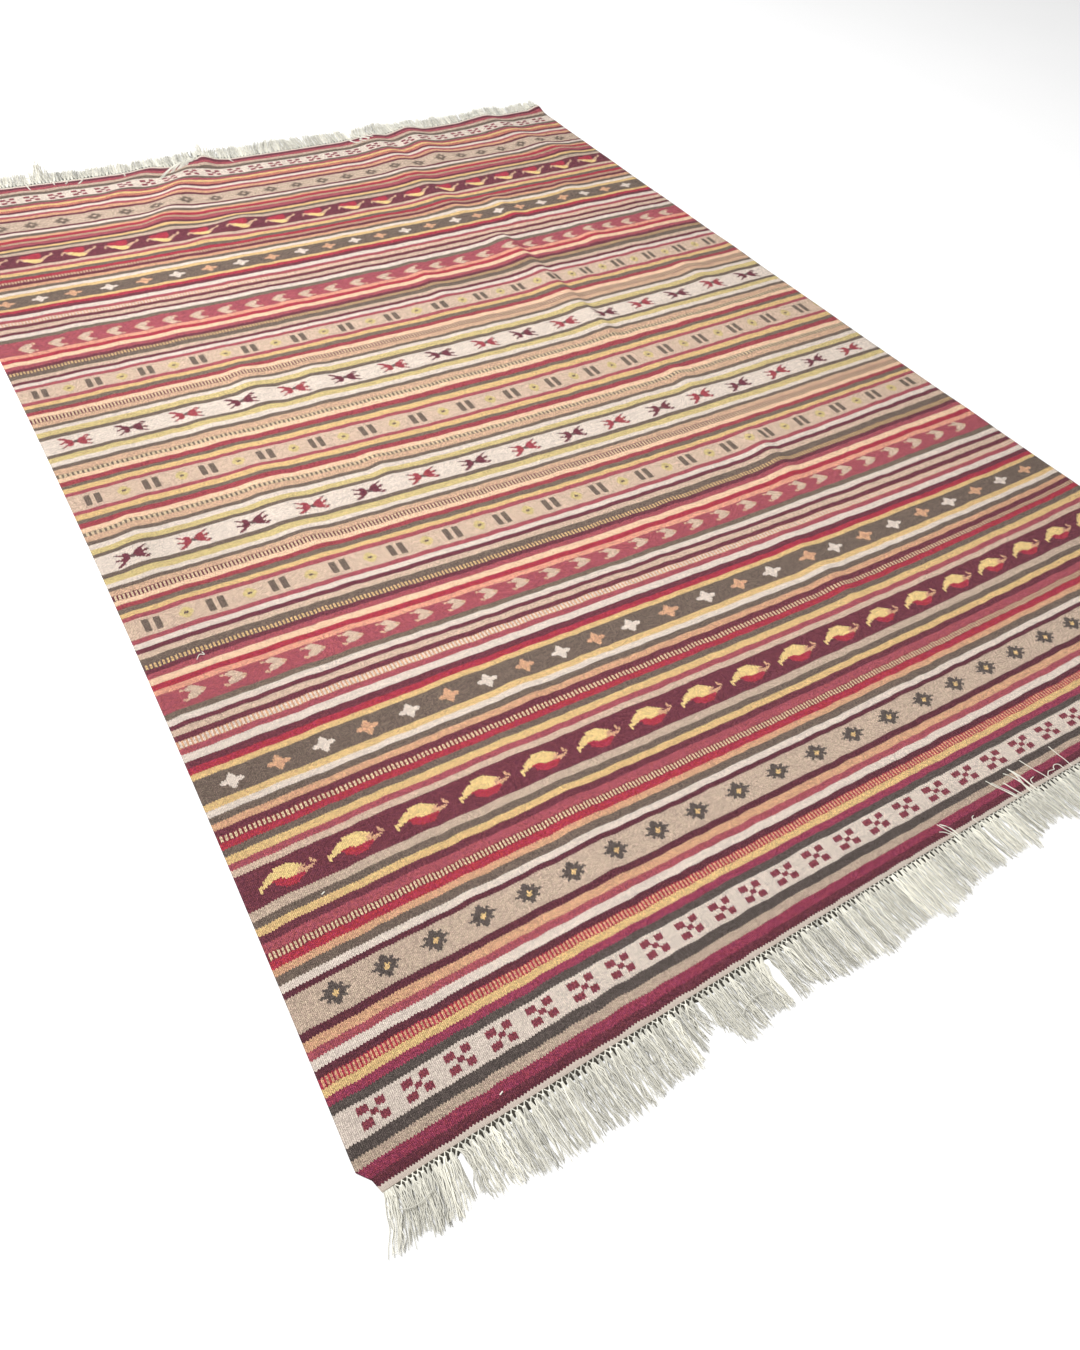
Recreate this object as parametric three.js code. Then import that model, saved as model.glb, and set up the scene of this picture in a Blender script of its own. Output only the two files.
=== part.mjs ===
// Kilim rug: a flat-woven striped cloth of about 2 m by 3 m that lies on a floor, with a knotted fringe
// at each end. Millimetres, +Z up. X runs along the stripes and Y along the length of the rug.
// The origin is on the floor, under the middle of the rug with its fringes.
import * as THREE from "three";

// Woven cloth
const CLOTH_WIDTH = 2000;
const STRIPED_LENGTH = 2981;
const END_STRIP = 7; // plain ivory weave past the outermost stripe, at each end
const CLOTH_THICKNESS = 2.5;
const NEAR_END = -END_STRIP;
const FAR_END = STRIPED_LENGTH + END_STRIP;

// How far the hand-woven cloth is out of square
const TAPER = 32; // the near end is this much wider than the far end
const LEFT_BOW = 28; // the left selvedge bends in by this much at mid-length
const RIGHT_BOW = -8;
const NEAR_START = 4.5; // how far along the left end of the first stripe lies
const FAR_START = 42.5;
const NEAR_SKEW = 32; // the right end of the first stripe against its left end, along the length
const FAR_SKEW = -85;
const FAR_DROP = -24; // the far right corner lags this much behind that slope
const NEAR_BOW = 13; // the middle of the first stripe against its two ends
const FAR_BOW = -48;

// The near left corner is drawn in by its last stripes
const CORNER_DRAW = 21;
const CORNER_LENGTH = 32;
const CORNER_REACH = 120; // the draw has died out this far along the end

// The far right corner curls up off the floor
const CURL_HEIGHT = 12;
const CURL_REACH = 56;

// Fringe: a knotted heading, and locks that spread from it
const SEAM_GAP = 0.3;
const HEADING_WIDTH = 13;
const HEADING_THICKNESS = 3;
const LOCKS = 140;
const LOCK_ROOT_SHARE = 0.62; // of the pitch
const LOCK_MIDDLE_WIDTH = 8.6;
const LOCK_TIP_WIDTH = 4.6;
const LOCK_TOP_SHARE = 0.6; // a lock's top is narrower than its foot
const LOCK_MIDDLE_THICKNESS = 3.6;
const LOCK_TIP_THICKNESS = 1.6;
const LOCK_MIDDLE_AT = 0.5; // of the lock's length
const MIDDLE_RISE_SHARE = 0.35; // of the height at which a lock leaves a fold
const SWING_CHANCE = 0.9;
const LENGTH_CHANCE = 3;
const LONG_WAVE = 6; // the trimmed edge of the fringe wanders by this much
const LONG_WAVE_RUN = 61;
const SHORT_WAVE = 3;
const SHORT_WAVE_RUN = 23;
const PARTING_REACH = 42; // a parting pushes locks aside over about this distance
const CUT_REACH = 17;

// Steps of the cloth's grid. The rows are closer at the far end, where the folds are. The headings'
// inner edges have the cloth's own columns.
const COLUMNS = 60;
const LONG_ROWS = 20;
const CLOSE_ROWS = 10;
const CLOSE_ROWS_FROM = 2400;

// Heights under this are pressed flat on the floor
const FLAT_BELOW = 0.8;

// Folds. Each crest runs from (x0, y0) to (x1, y1), measured on the cloth from its near left corner,
// and is bent to the left by bend at its middle. It is h0 and h1 high at its two ends, left and right
// are how far its slopes reach on each side, and fade0 and fade1 are the shares of its length over
// which it dies out, 0 where it runs off the edge of the cloth.
const FOLD_COLUMNS = ["x0", "y0", "x1", "y1", "bend", "h0", "h1", "left", "right", "fade0", "fade1"];
const FOLD_ROWS = [
  [535, 2535, 800, 2992, 12, 13, 15, 46, 52, 0.2, 0],
  [770, 2890, 806, 2992, 0, 8, 22, 16, 40, 0.5, 0],
  [435, 2740, 653, 2992, 4, 5, 8, 40, 30, 0.3, 0],
  [560, 2430, 850, 2610, 0, 8, 7, 42, 42, 0.3, 0.3],
  [1370, 2330, 1366, 2992, 4, 8, 9, 75, 34, 0.12, 0],
  [1396, 1520, 1400, 2240, -8, 10, 13, 60, 18, 0.12, 0.12],
  [1436, 840, 1452, 1110, 0, 9, 9, 40, 20, 0.3, 0.3],
  [1440, 1210, 1440, 1430, 0, 5, 5, 30, 30, 0.3, 0.3],
  [1288, 460, 1290, 780, 0, 7, 7, 34, 24, 0.3, 0.3],
  [1482, 2680, 1490, 2992, 0, 11, 15, 48, 48, 0.3, 0],
  [1508, 2220, 1505, 2470, 0, 8, 8, 32, 32, 0.3, 0.3],
  [1930, 2540, 1780, 2992, 17, 8, 11, 70, 42, 0.25, 0],
  [485, 1580, 487, 1880, 0, 9, 9, 36, 36, 0.35, 0.35],
  [620, 1560, 655, 1860, 0, 6, 6, 34, 34, 0.35, 0.35],
  [395, 1060, 372, 1520, 0, 8, 8, 48, 48, 0.3, 0.3],
  [75, 1160, 105, 1460, 0, 7, 7, 34, 34, 0.35, 0.35],
  [628, 1220, 630, 1430, 0, 7, 7, 30, 30, 0.35, 0.35],
  [1100, 1870, 1095, 2210, 0, 6, 6, 32, 32, 0.3, 0.3],
  [1648, 2000, 1655, 2180, 0, 8, 8, 34, 34, 0.35, 0.35],
  [1730, 2280, 1775, 2470, 0, 7, 7, 36, 36, 0.35, 0.35],
  [1790, 1630, 1805, 1880, 0, 7, 7, 42, 42, 0.35, 0.35],
  [575, 540, 590, 720, 0, 6, 6, 36, 36, 0.35, 0.35],
  [515, 120, 540, 480, 10, 6, 6, 38, 38, 0.35, 0.35],
];
const FOLDS = FOLD_ROWS.map((row) => Object.fromEntries(row.map((value, i) => [FOLD_COLUMNS[i], value])));

// Each end's fringe. outward is the way the locks point along Y, and lean carries their tips sideways.
// A parting opens at x: spread pushes the locks beside it apart and cut shortens them.
// A tuft stands up at x: the locks within reach rise to lift at their tips.
const NEAR_FRINGE = {
  name: "fringe_near",
  edge: NEAR_END,
  outward: -1,
  length: 74,
  lean: 1,
  cornerSplay: -15,
  seed: 3,
  partings: [
    { at: 120, spread: 7, cut: 0 },
    { at: 512, spread: 7, cut: 34 },
    { at: 638, spread: 8, cut: 0 },
    { at: 1142, spread: 7, cut: 0 },
    { at: 1216, spread: 3, cut: 16 },
    { at: 1590, spread: 7, cut: 8 },
    { at: 1830, spread: 6, cut: 0 },
  ],
  tufts: [],
};
const FAR_FRINGE = {
  name: "fringe_far",
  edge: FAR_END,
  outward: 1,
  length: 70,
  lean: 9,
  cornerSplay: -4,
  seed: 11,
  partings: [
    { at: 1296, spread: 8, cut: 20 },
    { at: 1540, spread: 6, cut: 8 },
    { at: 1716, spread: 6, cut: 14 },
    { at: 1890, spread: 5, cut: 10 },
  ],
  tufts: [
    { at: 340, reach: 30, lift: 30 },
    { at: 812, reach: 34, lift: 14 },
  ],
};

// Colours
const CLOTH_COLOUR = 0xa5685a;
const FRINGE_COLOUR = 0xdcd5c6;

// 0 below 0, 1 above 1, with no corner between
function ease(t) {
  const s = Math.min(Math.max(t, 0), 1);
  return s * s * (3 - 2 * s);
}

// A repeatable value between -1 and 1 for a whole number
function chance(n, seed) {
  const s = Math.sin(n * 12.9898 + seed * 78.233) * 43758.5453;
  return 2 * (s - Math.floor(s)) - 1;
}

// How high a fold lifts the cloth at (u, v)
function foldHeight(fold, u, v) {
  const runX = fold.x1 - fold.x0;
  const runY = fold.y1 - fold.y0;
  const run = Math.hypot(runX, runY);
  const along = ((u - fold.x0) * runX + (v - fold.y0) * runY) / (run * run);
  const t = Math.min(Math.max(along, 0), 1);
  const aside = ((u - fold.x0) * runY - (v - fold.y0) * runX) / run + fold.bend * 4 * t * (1 - t);
  const reach = aside < 0 ? fold.left : fold.right;
  const start = fold.fade0 > 0 ? ease(along / fold.fade0) : 1;
  const stop = fold.fade1 > 0 ? ease((1 - along) / fold.fade1) : 1;
  const height = fold.h0 + (fold.h1 - fold.h0) * t;
  return height * start * stop * Math.exp(-((aside / reach) ** 2));
}

// Height of the cloth's underside above the floor at (u, v)
function underside(u, v) {
  const folds = FOLDS.map((fold) => foldHeight(fold, u, v));
  const fromCorner = Math.hypot(CLOTH_WIDTH - u, FAR_END - v);
  const curl = CURL_HEIGHT * ease(1 - fromCorner / CURL_REACH);
  const height = Math.max(...folds) + curl;
  return Math.max(height - FLAT_BELOW, 0);
}

// Where the point of the cloth u along a stripe and v along the length lies on the floor
function onFloor(u, v) {
  const across = u / CLOTH_WIDTH;
  const along = v / STRIPED_LENGTH;
  const bow = 4 * along * (1 - along);
  const endBow = 4 * across * (1 - across);
  const draw = ease(1 - Math.max(v, 0) / CORNER_LENGTH) * ease(1 - u / CORNER_REACH);
  const sideBow = bow * (LEFT_BOW * (1 - across) + RIGHT_BOW * across);
  const x = u - across * TAPER * (along - 0.5) + sideBow + draw * CORNER_DRAW;
  const near = NEAR_START + NEAR_SKEW * across + NEAR_BOW * endBow;
  const far = FAR_START + FAR_SKEW * across + FAR_DROP * across ** 3 + FAR_BOW * endBow;
  const y = v + near * (1 - along) + far * along;
  return [x, y];
}

// Even steps from start to stop, both included
function steps(start, stop, count) {
  return Array.from({ length: count + 1 }, (_, i) => start + ((stop - start) * i) / count);
}

function geometryOf(points, faces) {
  const geometry = new THREE.BufferGeometry();
  geometry.setAttribute("position", new THREE.Float32BufferAttribute(points.flat(), 3));
  geometry.setIndex(faces.flat());
  geometry.computeVertexNormals();
  return geometry;
}

function meshOf(name, geometry, colour) {
  const material = new THREE.MeshStandardMaterial({ color: colour, roughness: 0.95, metalness: 0 });
  const mesh = new THREE.Mesh(geometry, material);
  mesh.name = name;
  return mesh;
}

// The cloth: an upper and a lower grid of the same folds, closed along the four edges
function cloth() {
  const us = steps(0, CLOTH_WIDTH, COLUMNS);
  const vs = [
    NEAR_END,
    CORNER_LENGTH / 3,
    ...steps(CORNER_LENGTH, CLOSE_ROWS_FROM, LONG_ROWS),
    ...steps(CLOSE_ROWS_FROM, FAR_END, CLOSE_ROWS).slice(1),
  ];
  const points = [];
  for (const lift of [0, CLOTH_THICKNESS]) {
    for (const v of vs) {
      for (const u of us) {
        points.push([...onFloor(u, v), underside(u, v) + lift]);
      }
    }
  }
  const layer = us.length * vs.length;
  const at = (i, j, top) => top * layer + j * us.length + i;
  const faces = [];
  for (let j = 0; j < vs.length - 1; j++) {
    for (let i = 0; i < us.length - 1; i++) {
      for (const top of [0, 1]) {
        const [a, b, c, d] = [at(i, j, top), at(i + 1, j, top), at(i + 1, j + 1, top), at(i, j + 1, top)];
        faces.push(...(top ? [[a, b, c], [a, c, d]] : [[a, c, b], [a, d, c]]));
      }
    }
  }
  const wall = (i0, j0, i1, j1) => {
    const [a, b, c, d] = [at(i0, j0, 0), at(i1, j1, 0), at(i1, j1, 1), at(i0, j0, 1)];
    faces.push([a, b, c], [a, c, d]);
  };
  const lastColumn = us.length - 1;
  const lastRow = vs.length - 1;
  for (let i = 0; i < lastColumn; i++) {
    wall(i, 0, i + 1, 0);
    wall(i + 1, lastRow, i, lastRow);
  }
  for (let j = 0; j < lastRow; j++) {
    wall(lastColumn, j, lastColumn, j + 1);
    wall(0, j + 1, 0, j);
  }
  return meshOf("kilim_cloth", geometryOf(points, faces), CLOTH_COLOUR);
}

// How far the tip of the lock rooted at u swings sideways, how much it is shortened and how it rises
function lockHabit(end, index, u) {
  let swing = end.lean + chance(index, end.seed) * SWING_CHANCE;
  swing += end.cornerSplay * ease(1 - u / CORNER_REACH);
  let length = end.length + chance(index, end.seed + 1) * LENGTH_CHANCE;
  length += LONG_WAVE * Math.sin(u / LONG_WAVE_RUN + end.seed) + SHORT_WAVE * Math.sin(u / SHORT_WAVE_RUN);
  for (const parting of end.partings) {
    const away = u - parting.at;
    swing += Math.sign(away) * parting.spread * Math.exp(-Math.abs(away) / PARTING_REACH);
    length -= parting.cut * Math.exp(-((away / CUT_REACH) ** 2));
  }
  let rise = 0;
  for (const tuft of end.tufts) {
    rise += tuft.lift * ease(1 - Math.abs(u - tuft.at) / tuft.reach);
  }
  return { swing, length, rise };
}

// A fringe: the heading is a closed strip whose outer edge is stepped into lock roots and the spaces
// between them, and each root is drawn out into a four-sided lock
function fringe(end) {
  const points = [];
  const faces = [];
  const add = (x, y, z) => points.push([x, y, z]) - 1;
  // Faces are listed for the near end, and turned over for the far one
  const face = (a, b, c) => faces.push(end.outward < 0 ? [a, b, c] : [a, c, b]);
  const quad = (a, b, c, d) => {
    face(a, b, c);
    face(a, c, d);
  };
  const rail = (us, offset) =>
    us.map((u) => {
      const [x, y] = onFloor(u, end.edge);
      const z = underside(u, end.edge);
      const across = y + end.outward * offset;
      return [add(x, across, z), add(x, across, z + HEADING_THICKNESS)];
    });
  const pitch = CLOTH_WIDTH / LOCKS;
  const side = (pitch * (1 - LOCK_ROOT_SHARE)) / 2;
  const rootEdges = steps(0, CLOTH_WIDTH - pitch, LOCKS - 1).flatMap((u) => [u + side, u + pitch - side]);
  const outerUs = [0, ...rootEdges, CLOTH_WIDTH];
  const inner = rail(steps(0, CLOTH_WIDTH, COLUMNS), SEAM_GAP);
  const outer = rail(outerUs, SEAM_GAP + HEADING_WIDTH);

  // Upper and lower face: the two rails are zipped together
  let reached = 0;
  for (let cell = 0; cell < COLUMNS; cell++) {
    const stopU = ((cell + 1) * CLOTH_WIDTH) / COLUMNS;
    const [i0, i1] = [inner[cell], inner[cell + 1]];
    while (reached < outer.length - 1 && (outerUs[reached + 1] <= stopU || cell === COLUMNS - 1)) {
      const [o0, o1] = [outer[reached], outer[reached + 1]];
      face(i0[1], o0[1], o1[1]);
      face(i0[0], o1[0], o0[0]);
      reached++;
    }
    const o = outer[reached];
    face(i0[1], o[1], i1[1]);
    face(i0[0], i1[0], o[0]);
    quad(i0[1], i1[1], i1[0], i0[0]);
  }
  const last = outer.length - 1;
  quad(inner[0][0], outer[0][0], outer[0][1], inner[0][1]);
  quad(outer[last][0], inner[COLUMNS][0], inner[COLUMNS][1], outer[last][1]);

  // Outer edge: even steps are spaces, odd steps are roots
  for (let k = 0; k < last; k++) {
    const [o0, o1] = [outer[k], outer[k + 1]];
    if (k % 2 === 0) {
      quad(o0[0], o1[0], o1[1], o0[1]);
      continue;
    }
    const index = (k - 1) / 2;
    const { swing, length, rise } = lockHabit(end, index, (outerUs[k] + outerUs[k + 1]) / 2);
    const [x0, y0, z0] = points[o0[0]];
    const [x1, y1] = points[o1[0]];
    const section = (share, width, thickness, z) => {
      const x = (x0 + x1) / 2 + swing * share * share;
      const y = (y0 + y1) / 2 + end.outward * length * share;
      const top = (width * LOCK_TOP_SHARE) / 2;
      const foot = [add(x - width / 2, y, z), add(x + width / 2, y, z)];
      return [...foot, add(x + top, y, z + thickness), add(x - top, y, z + thickness)];
    };
    const middleRise = Math.max(z0 * MIDDLE_RISE_SHARE, rise * LOCK_MIDDLE_AT);
    const root = [o0[0], o1[0], o1[1], o0[1]];
    const middle = section(LOCK_MIDDLE_AT, LOCK_MIDDLE_WIDTH, LOCK_MIDDLE_THICKNESS, middleRise);
    const tip = section(1, LOCK_TIP_WIDTH, LOCK_TIP_THICKNESS, rise);
    for (const [from, to] of [[root, middle], [middle, tip]]) {
      for (let c = 0; c < 4; c++) {
        const d = (c + 1) % 4;
        quad(from[c], from[d], to[d], to[c]);
      }
    }
    quad(...tip);
  }
  return meshOf(end.name, geometryOf(points, faces), FRINGE_COLOUR);
}

const rug = new THREE.Group();
rug.add(cloth(), fringe(NEAR_FRINGE), fringe(FAR_FRINGE));

// The origin goes under the middle of the whole rug
const box = new THREE.Box3().setFromObject(rug, true);
rug.position.set(-(box.min.x + box.max.x) / 2, -(box.min.y + box.max.y) / 2, -box.min.z);
const group = new THREE.Group();
group.add(rug);

export default group;
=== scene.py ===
"""Kilim rug: a striped, weft-faced flat weave of 2 m by 3 m with a knotted cotton fringe at each end.

A Blender 4.5 add-on layout that is run as a script. Tables are in millimetres and the scene is in metres.
u runs across the rug from its left selvedge, and v along it from the outer edge of its first stripe.
"""
import math

import bmesh
import bpy
import numpy as np
from mathutils import Matrix, Vector, noise


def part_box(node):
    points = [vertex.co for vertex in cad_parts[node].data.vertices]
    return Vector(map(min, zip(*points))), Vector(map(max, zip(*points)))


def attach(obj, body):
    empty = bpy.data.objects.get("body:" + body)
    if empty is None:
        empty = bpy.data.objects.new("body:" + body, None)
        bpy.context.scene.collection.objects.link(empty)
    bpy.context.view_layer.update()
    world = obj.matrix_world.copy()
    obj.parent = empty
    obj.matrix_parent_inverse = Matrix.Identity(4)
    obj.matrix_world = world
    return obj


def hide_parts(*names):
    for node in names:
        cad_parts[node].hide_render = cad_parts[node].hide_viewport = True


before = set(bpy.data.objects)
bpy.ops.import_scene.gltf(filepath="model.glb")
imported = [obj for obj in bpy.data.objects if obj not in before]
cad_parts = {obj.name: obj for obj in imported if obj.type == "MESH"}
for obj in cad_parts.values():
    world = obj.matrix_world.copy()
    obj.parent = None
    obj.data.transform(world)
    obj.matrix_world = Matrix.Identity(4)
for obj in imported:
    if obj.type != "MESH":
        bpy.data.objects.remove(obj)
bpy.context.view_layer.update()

bl_info = {
    "name": "Kilim rug",
    "version": (1, 0, 0),
    "blender": (4, 5, 0),
    "location": "View3D > Sidebar > Kilim",
    "description": "Weaves a striped kilim with its knotted fringes, and sets it on a pale floor",
    "category": "Add Mesh",
}

MM = 0.001

# The cloth's outline and its folds, as the solids have them
CLOTH_WIDTH = 2000
STRIPED_LENGTH = 2981
END_STRIP = 7
NEAR_END = -END_STRIP
FAR_END = STRIPED_LENGTH + END_STRIP
TAPER = 32
LEFT_BOW = 28
RIGHT_BOW = -8
NEAR_START = 4.5
FAR_START = 42.5
NEAR_SKEW = 32
FAR_SKEW = -85
FAR_DROP = -24
NEAR_BOW = 13
FAR_BOW = -48
CORNER_DRAW = 21
CORNER_LENGTH = 32
CORNER_REACH = 120
CURL_HEIGHT = 12
CURL_REACH = 56
FLAT_BELOW = 0.8
SEAM_GAP = 0.3
HEADING_WIDTH = 13
RIM_BULGE = 0.35  # how far the rim stands out, against the thickness
RIPPLE_LENGTHS = (78, 230)  # from ripple to ripple, across the rug and along it
RIPPLE_SLANT = 0.2
RIPPLE_SEED = 0.4
RIPPLE_RISE = 0.12
RIPPLE_FADE = 60  # they die out over this much of each end

# Each crest runs from (x0, y0) to (x1, y1) on the cloth and is bent to the left by bend at its middle.
# It is h0 and h1 high at its ends, its slopes reach left and right on each side, and fade0 and fade1
# are the shares of its length over which it dies out, 0 where it runs off the edge.
# The columns: x0, y0, x1, y1, bend, h0, h1, left, right, fade0, fade1
FOLDS = (
    (535, 2535, 800, 2992, 12, 13, 15, 46, 52, 0.2, 0),
    (770, 2890, 806, 2992, 0, 8, 22, 16, 40, 0.5, 0),
    (435, 2740, 653, 2992, 4, 5, 8, 40, 30, 0.3, 0),
    (560, 2430, 850, 2610, 0, 8, 7, 42, 42, 0.3, 0.3),
    (1370, 2330, 1366, 2992, 4, 8, 9, 75, 34, 0.12, 0),
    (1396, 1520, 1400, 2240, -8, 10, 13, 60, 18, 0.12, 0.12),
    (1436, 840, 1452, 1110, 0, 9, 9, 40, 20, 0.3, 0.3),
    (1440, 1210, 1440, 1430, 0, 5, 5, 30, 30, 0.3, 0.3),
    (1288, 460, 1290, 780, 0, 7, 7, 34, 24, 0.3, 0.3),
    (1482, 2680, 1490, 2992, 0, 11, 15, 48, 48, 0.3, 0),
    (1508, 2220, 1505, 2470, 0, 8, 8, 32, 32, 0.3, 0.3),
    (1930, 2540, 1780, 2992, 17, 8, 11, 70, 42, 0.25, 0),
    (485, 1580, 487, 1880, 0, 9, 9, 36, 36, 0.35, 0.35),
    (620, 1560, 655, 1860, 0, 6, 6, 34, 34, 0.35, 0.35),
    (395, 1060, 372, 1520, 0, 8, 8, 48, 48, 0.3, 0.3),
    (75, 1160, 105, 1460, 0, 7, 7, 34, 34, 0.35, 0.35),
    (628, 1220, 630, 1430, 0, 7, 7, 30, 30, 0.35, 0.35),
    (1100, 1870, 1095, 2210, 0, 6, 6, 32, 32, 0.3, 0.3),
    (1648, 2000, 1655, 2180, 0, 8, 8, 34, 34, 0.35, 0.35),
    (1730, 2280, 1775, 2470, 0, 7, 7, 36, 36, 0.35, 0.35),
    (1790, 1630, 1805, 1880, 0, 7, 7, 42, 42, 0.35, 0.35),
    (575, 540, 590, 720, 0, 6, 6, 36, 36, 0.35, 0.35),
    (515, 120, 540, 480, 10, 6, 6, 38, 38, 0.35, 0.35),
)

# Stripes from the near end to the middle of the rug: the yarn, and where it gives way to the next one.
# The far half is the near half mirrored.
MIDDLE = 1474.5
STRIPES = (
    ("maroon", 14), ("raspberry", 29), ("tan", 43), ("dark_grey", 59), ("ivory", 104),
    ("dark_grey", 117), ("raspberry", 130), ("gold", 143), ("bright_red", 157), ("maroon", 169),
    ("ivory", 184), ("raspberry", 197), ("peach", 212), ("maroon", 225), ("tan", 281),
    ("maroon", 291), ("ivory", 304), ("dark_grey", 319), ("peach", 331), ("bright_red", 345),
    ("umber", 359), ("raspberry", 376), ("maroon", 390), ("gold", 403), ("dark_grey", 417),
    ("tan", 433), ("maroon", 499), ("light_tan", 512), ("raspberry", 525), ("gold", 540),
    ("dark_grey", 553), ("bright_red", 566), ("umber", 579), ("maroon", 592), ("peach", 606),
    ("dark_grey", 619), ("ivory", 632), ("gold", 646), ("dark_grey", 699), ("gold", 711),
    ("bright_red", 726), ("maroon", 741), ("ivory", 758), ("raspberry", 772), ("peach", 788),
    ("maroon", 801), ("light_tan", 815), ("maroon", 826), ("ivory", 840), ("grey_green", 853),
    ("raspberry", 899), ("salmon", 912), ("bright_red", 926), ("light_peach", 942), ("raspberry", 955),
    ("maroon", 966), ("olive", 980), ("dark_grey", 996), ("light_tan", 1010), ("maroon", 1022),
    ("ivory", 1036), ("raspberry", 1048), ("light_tan", 1100), ("raspberry", 1112), ("gold", 1124),
    ("grey_green", 1137), ("crimson", 1149), ("light_peach", 1162), ("maroon", 1178),
    ("dusty_peach", 1193), ("dark_grey", 1203), ("ivory", 1215), ("straw", 1232), ("dark_grey", 1245),
    ("ivory", 1299), ("dark_grey", 1309), ("straw", 1324), ("ivory", 1338), ("dark_grey", 1349),
    ("dusty_peach", 1366), ("grey_green", 1378), ("light_peach", 1392), ("crimson", 1408),
    ("grey_green", 1419), ("gold", 1436), ("raspberry", 1447), ("light_tan", 1475),
)
STRIPES_PER_RAMP = 11

# The stripes were beaten unevenly and drift from that pattern. After each place on the pattern comes how
# much farther along the rug it lies at the left selvedge, a quarter across, and so on to the right one.
DRIFT_PLACES = (0, 0.25, 0.5, 0.75, 1)
STRIPE_DRIFT = (
    (NEAR_END, 0, 0, 0, 0, 0),
    (60, 1, 2, -5, -11, -9),
    (260, 2, -2, -13, -14, -10),
    (433, 1, -4, -17, -18, -5),
    (566, 0, -4, -16, -20, -2),
    (699, 0, -4, -14, -25, -19),
    (788, 0, -5, -21, -34, -32),
    (899, 2, -8, -27, -29, -27),
    (1048, 0, -9, -28, -29, -13),
    (1178, -3, -8, -22, -27, -22),
    (1299, -4, -7, -21, -27, -24),
    (1447, -2, -6, -21, -17, -11),
    (1502, -2, -4, -15, -8, 1),
    (1571, -5, -2, -5, -3, 3),
    (1650, 2, 8, 4, 4, 5),
    (1771, 7, 15, 15, 14, 14),
    (1849, 16, 25, 28, 29, 28),
    (1983, 12, 24, 29, 38, 35),
    (2050, 17, 26, 31, 40, 41),
    (2096, 31, 39, 38, 46, 46),
    (2161, 46, 45, 51, 58, 51),
    (2303, 33, 45, 52, 56, 51),
    (2516, 44, 53, 52, 58, 60),
    (2599, 30, 37, 44, 47, 45),
    (2724, 31, 36, 38, 42, 29),
    (2845, 28, 27, 31, 32, 27),
    (2 * MIDDLE + END_STRIP, 32, 32, 32, 32, 32),
)

# Stripes of the near half that come from darker dye lots than their twins in the far half
DARK_LOTS = (
    (14, 29, "wine"),
    (43, 59, "charcoal"),
    (104, 117, "charcoal"),
    (117, 130, "wine"),
    (157, 169, "deep_maroon"),
    (212, 225, "deep_maroon"),
    (281, 291, "deep_maroon"),
)

# Painted shade towards the sides and the ends: how far it reaches across (0) or along (1) the rug, where it
# is darkest, where it ends, and how dark it is.
EDGE_PAINTED_SHADE = (
    (0, 0, 480, 0.86),
    (0, CLOTH_WIDTH, 1560, 0.93),
    (1, 0, 170, 0.86),
    (1, STRIPED_LENGTH, 2640, 0.93),
)

# Pick-and-pick stripes: two yarns woven in turn, which gives a comb of short bars. The second yarn is
# listed, and the first is the stripe's own. Last comes how many ribs a bar and its gap take. That is 2 on
# the rug, and more where the bars would be too fine to show from the near end.
COMBS = (
    (143, 157, "peach", 2.5),
    (345, 359, "cream", 2.5),
    (566, 579, "cream", 3),
    (772, 788, "ivory", 3),
    (966, 980, "gold", 3),
    (1162, 1178, "cream", 3),
    (1366, 1378, "cream", 4),
)

COMB_GAP = 0.45  # share of a bar and its gap that the gap takes
COMB_MARGIN = 1.2
COMB_BREAK = 0.45

# The stripes' edges wander this far to each side, and are toothed by this much, rib by rib
WANDER = 2.5
TOOTH_LENGTH = 3.2
TOOTH_START = -1.4

# How many grains of each unevenness go to a metre, across the rug and along it
WANDER_GRAINS = (27.5, 15)
SHAKE_GRAINS = (150, 2100)
SLUB_GRAINS = (1100, 1600)
HANK_GRAINS = (15, 200)
SOIL_GRAINS = 85  # patches of soil of about 12 mm on the cotton
PLY_GRAINS = 900  # plies about 1 mm apart

# How light the wool is. Each of these multiplies a yarn's colour or adds to what does.
WOOL_VALUE = 0.86
DARKEST_VALUE = 0.3
GROOVE_VALUE = 0.78
RIB_CONTRAST = 0.9
HANK_CONTRAST = 0.25
SLUB_CONTRAST = 13
SLUB_START = -7
HEATHER_ON_PALE = 0.33  # share of the heather that shows on a yarn as light as PALE
PALE = 0.6
HUE_STRAY = 0.015

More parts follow.
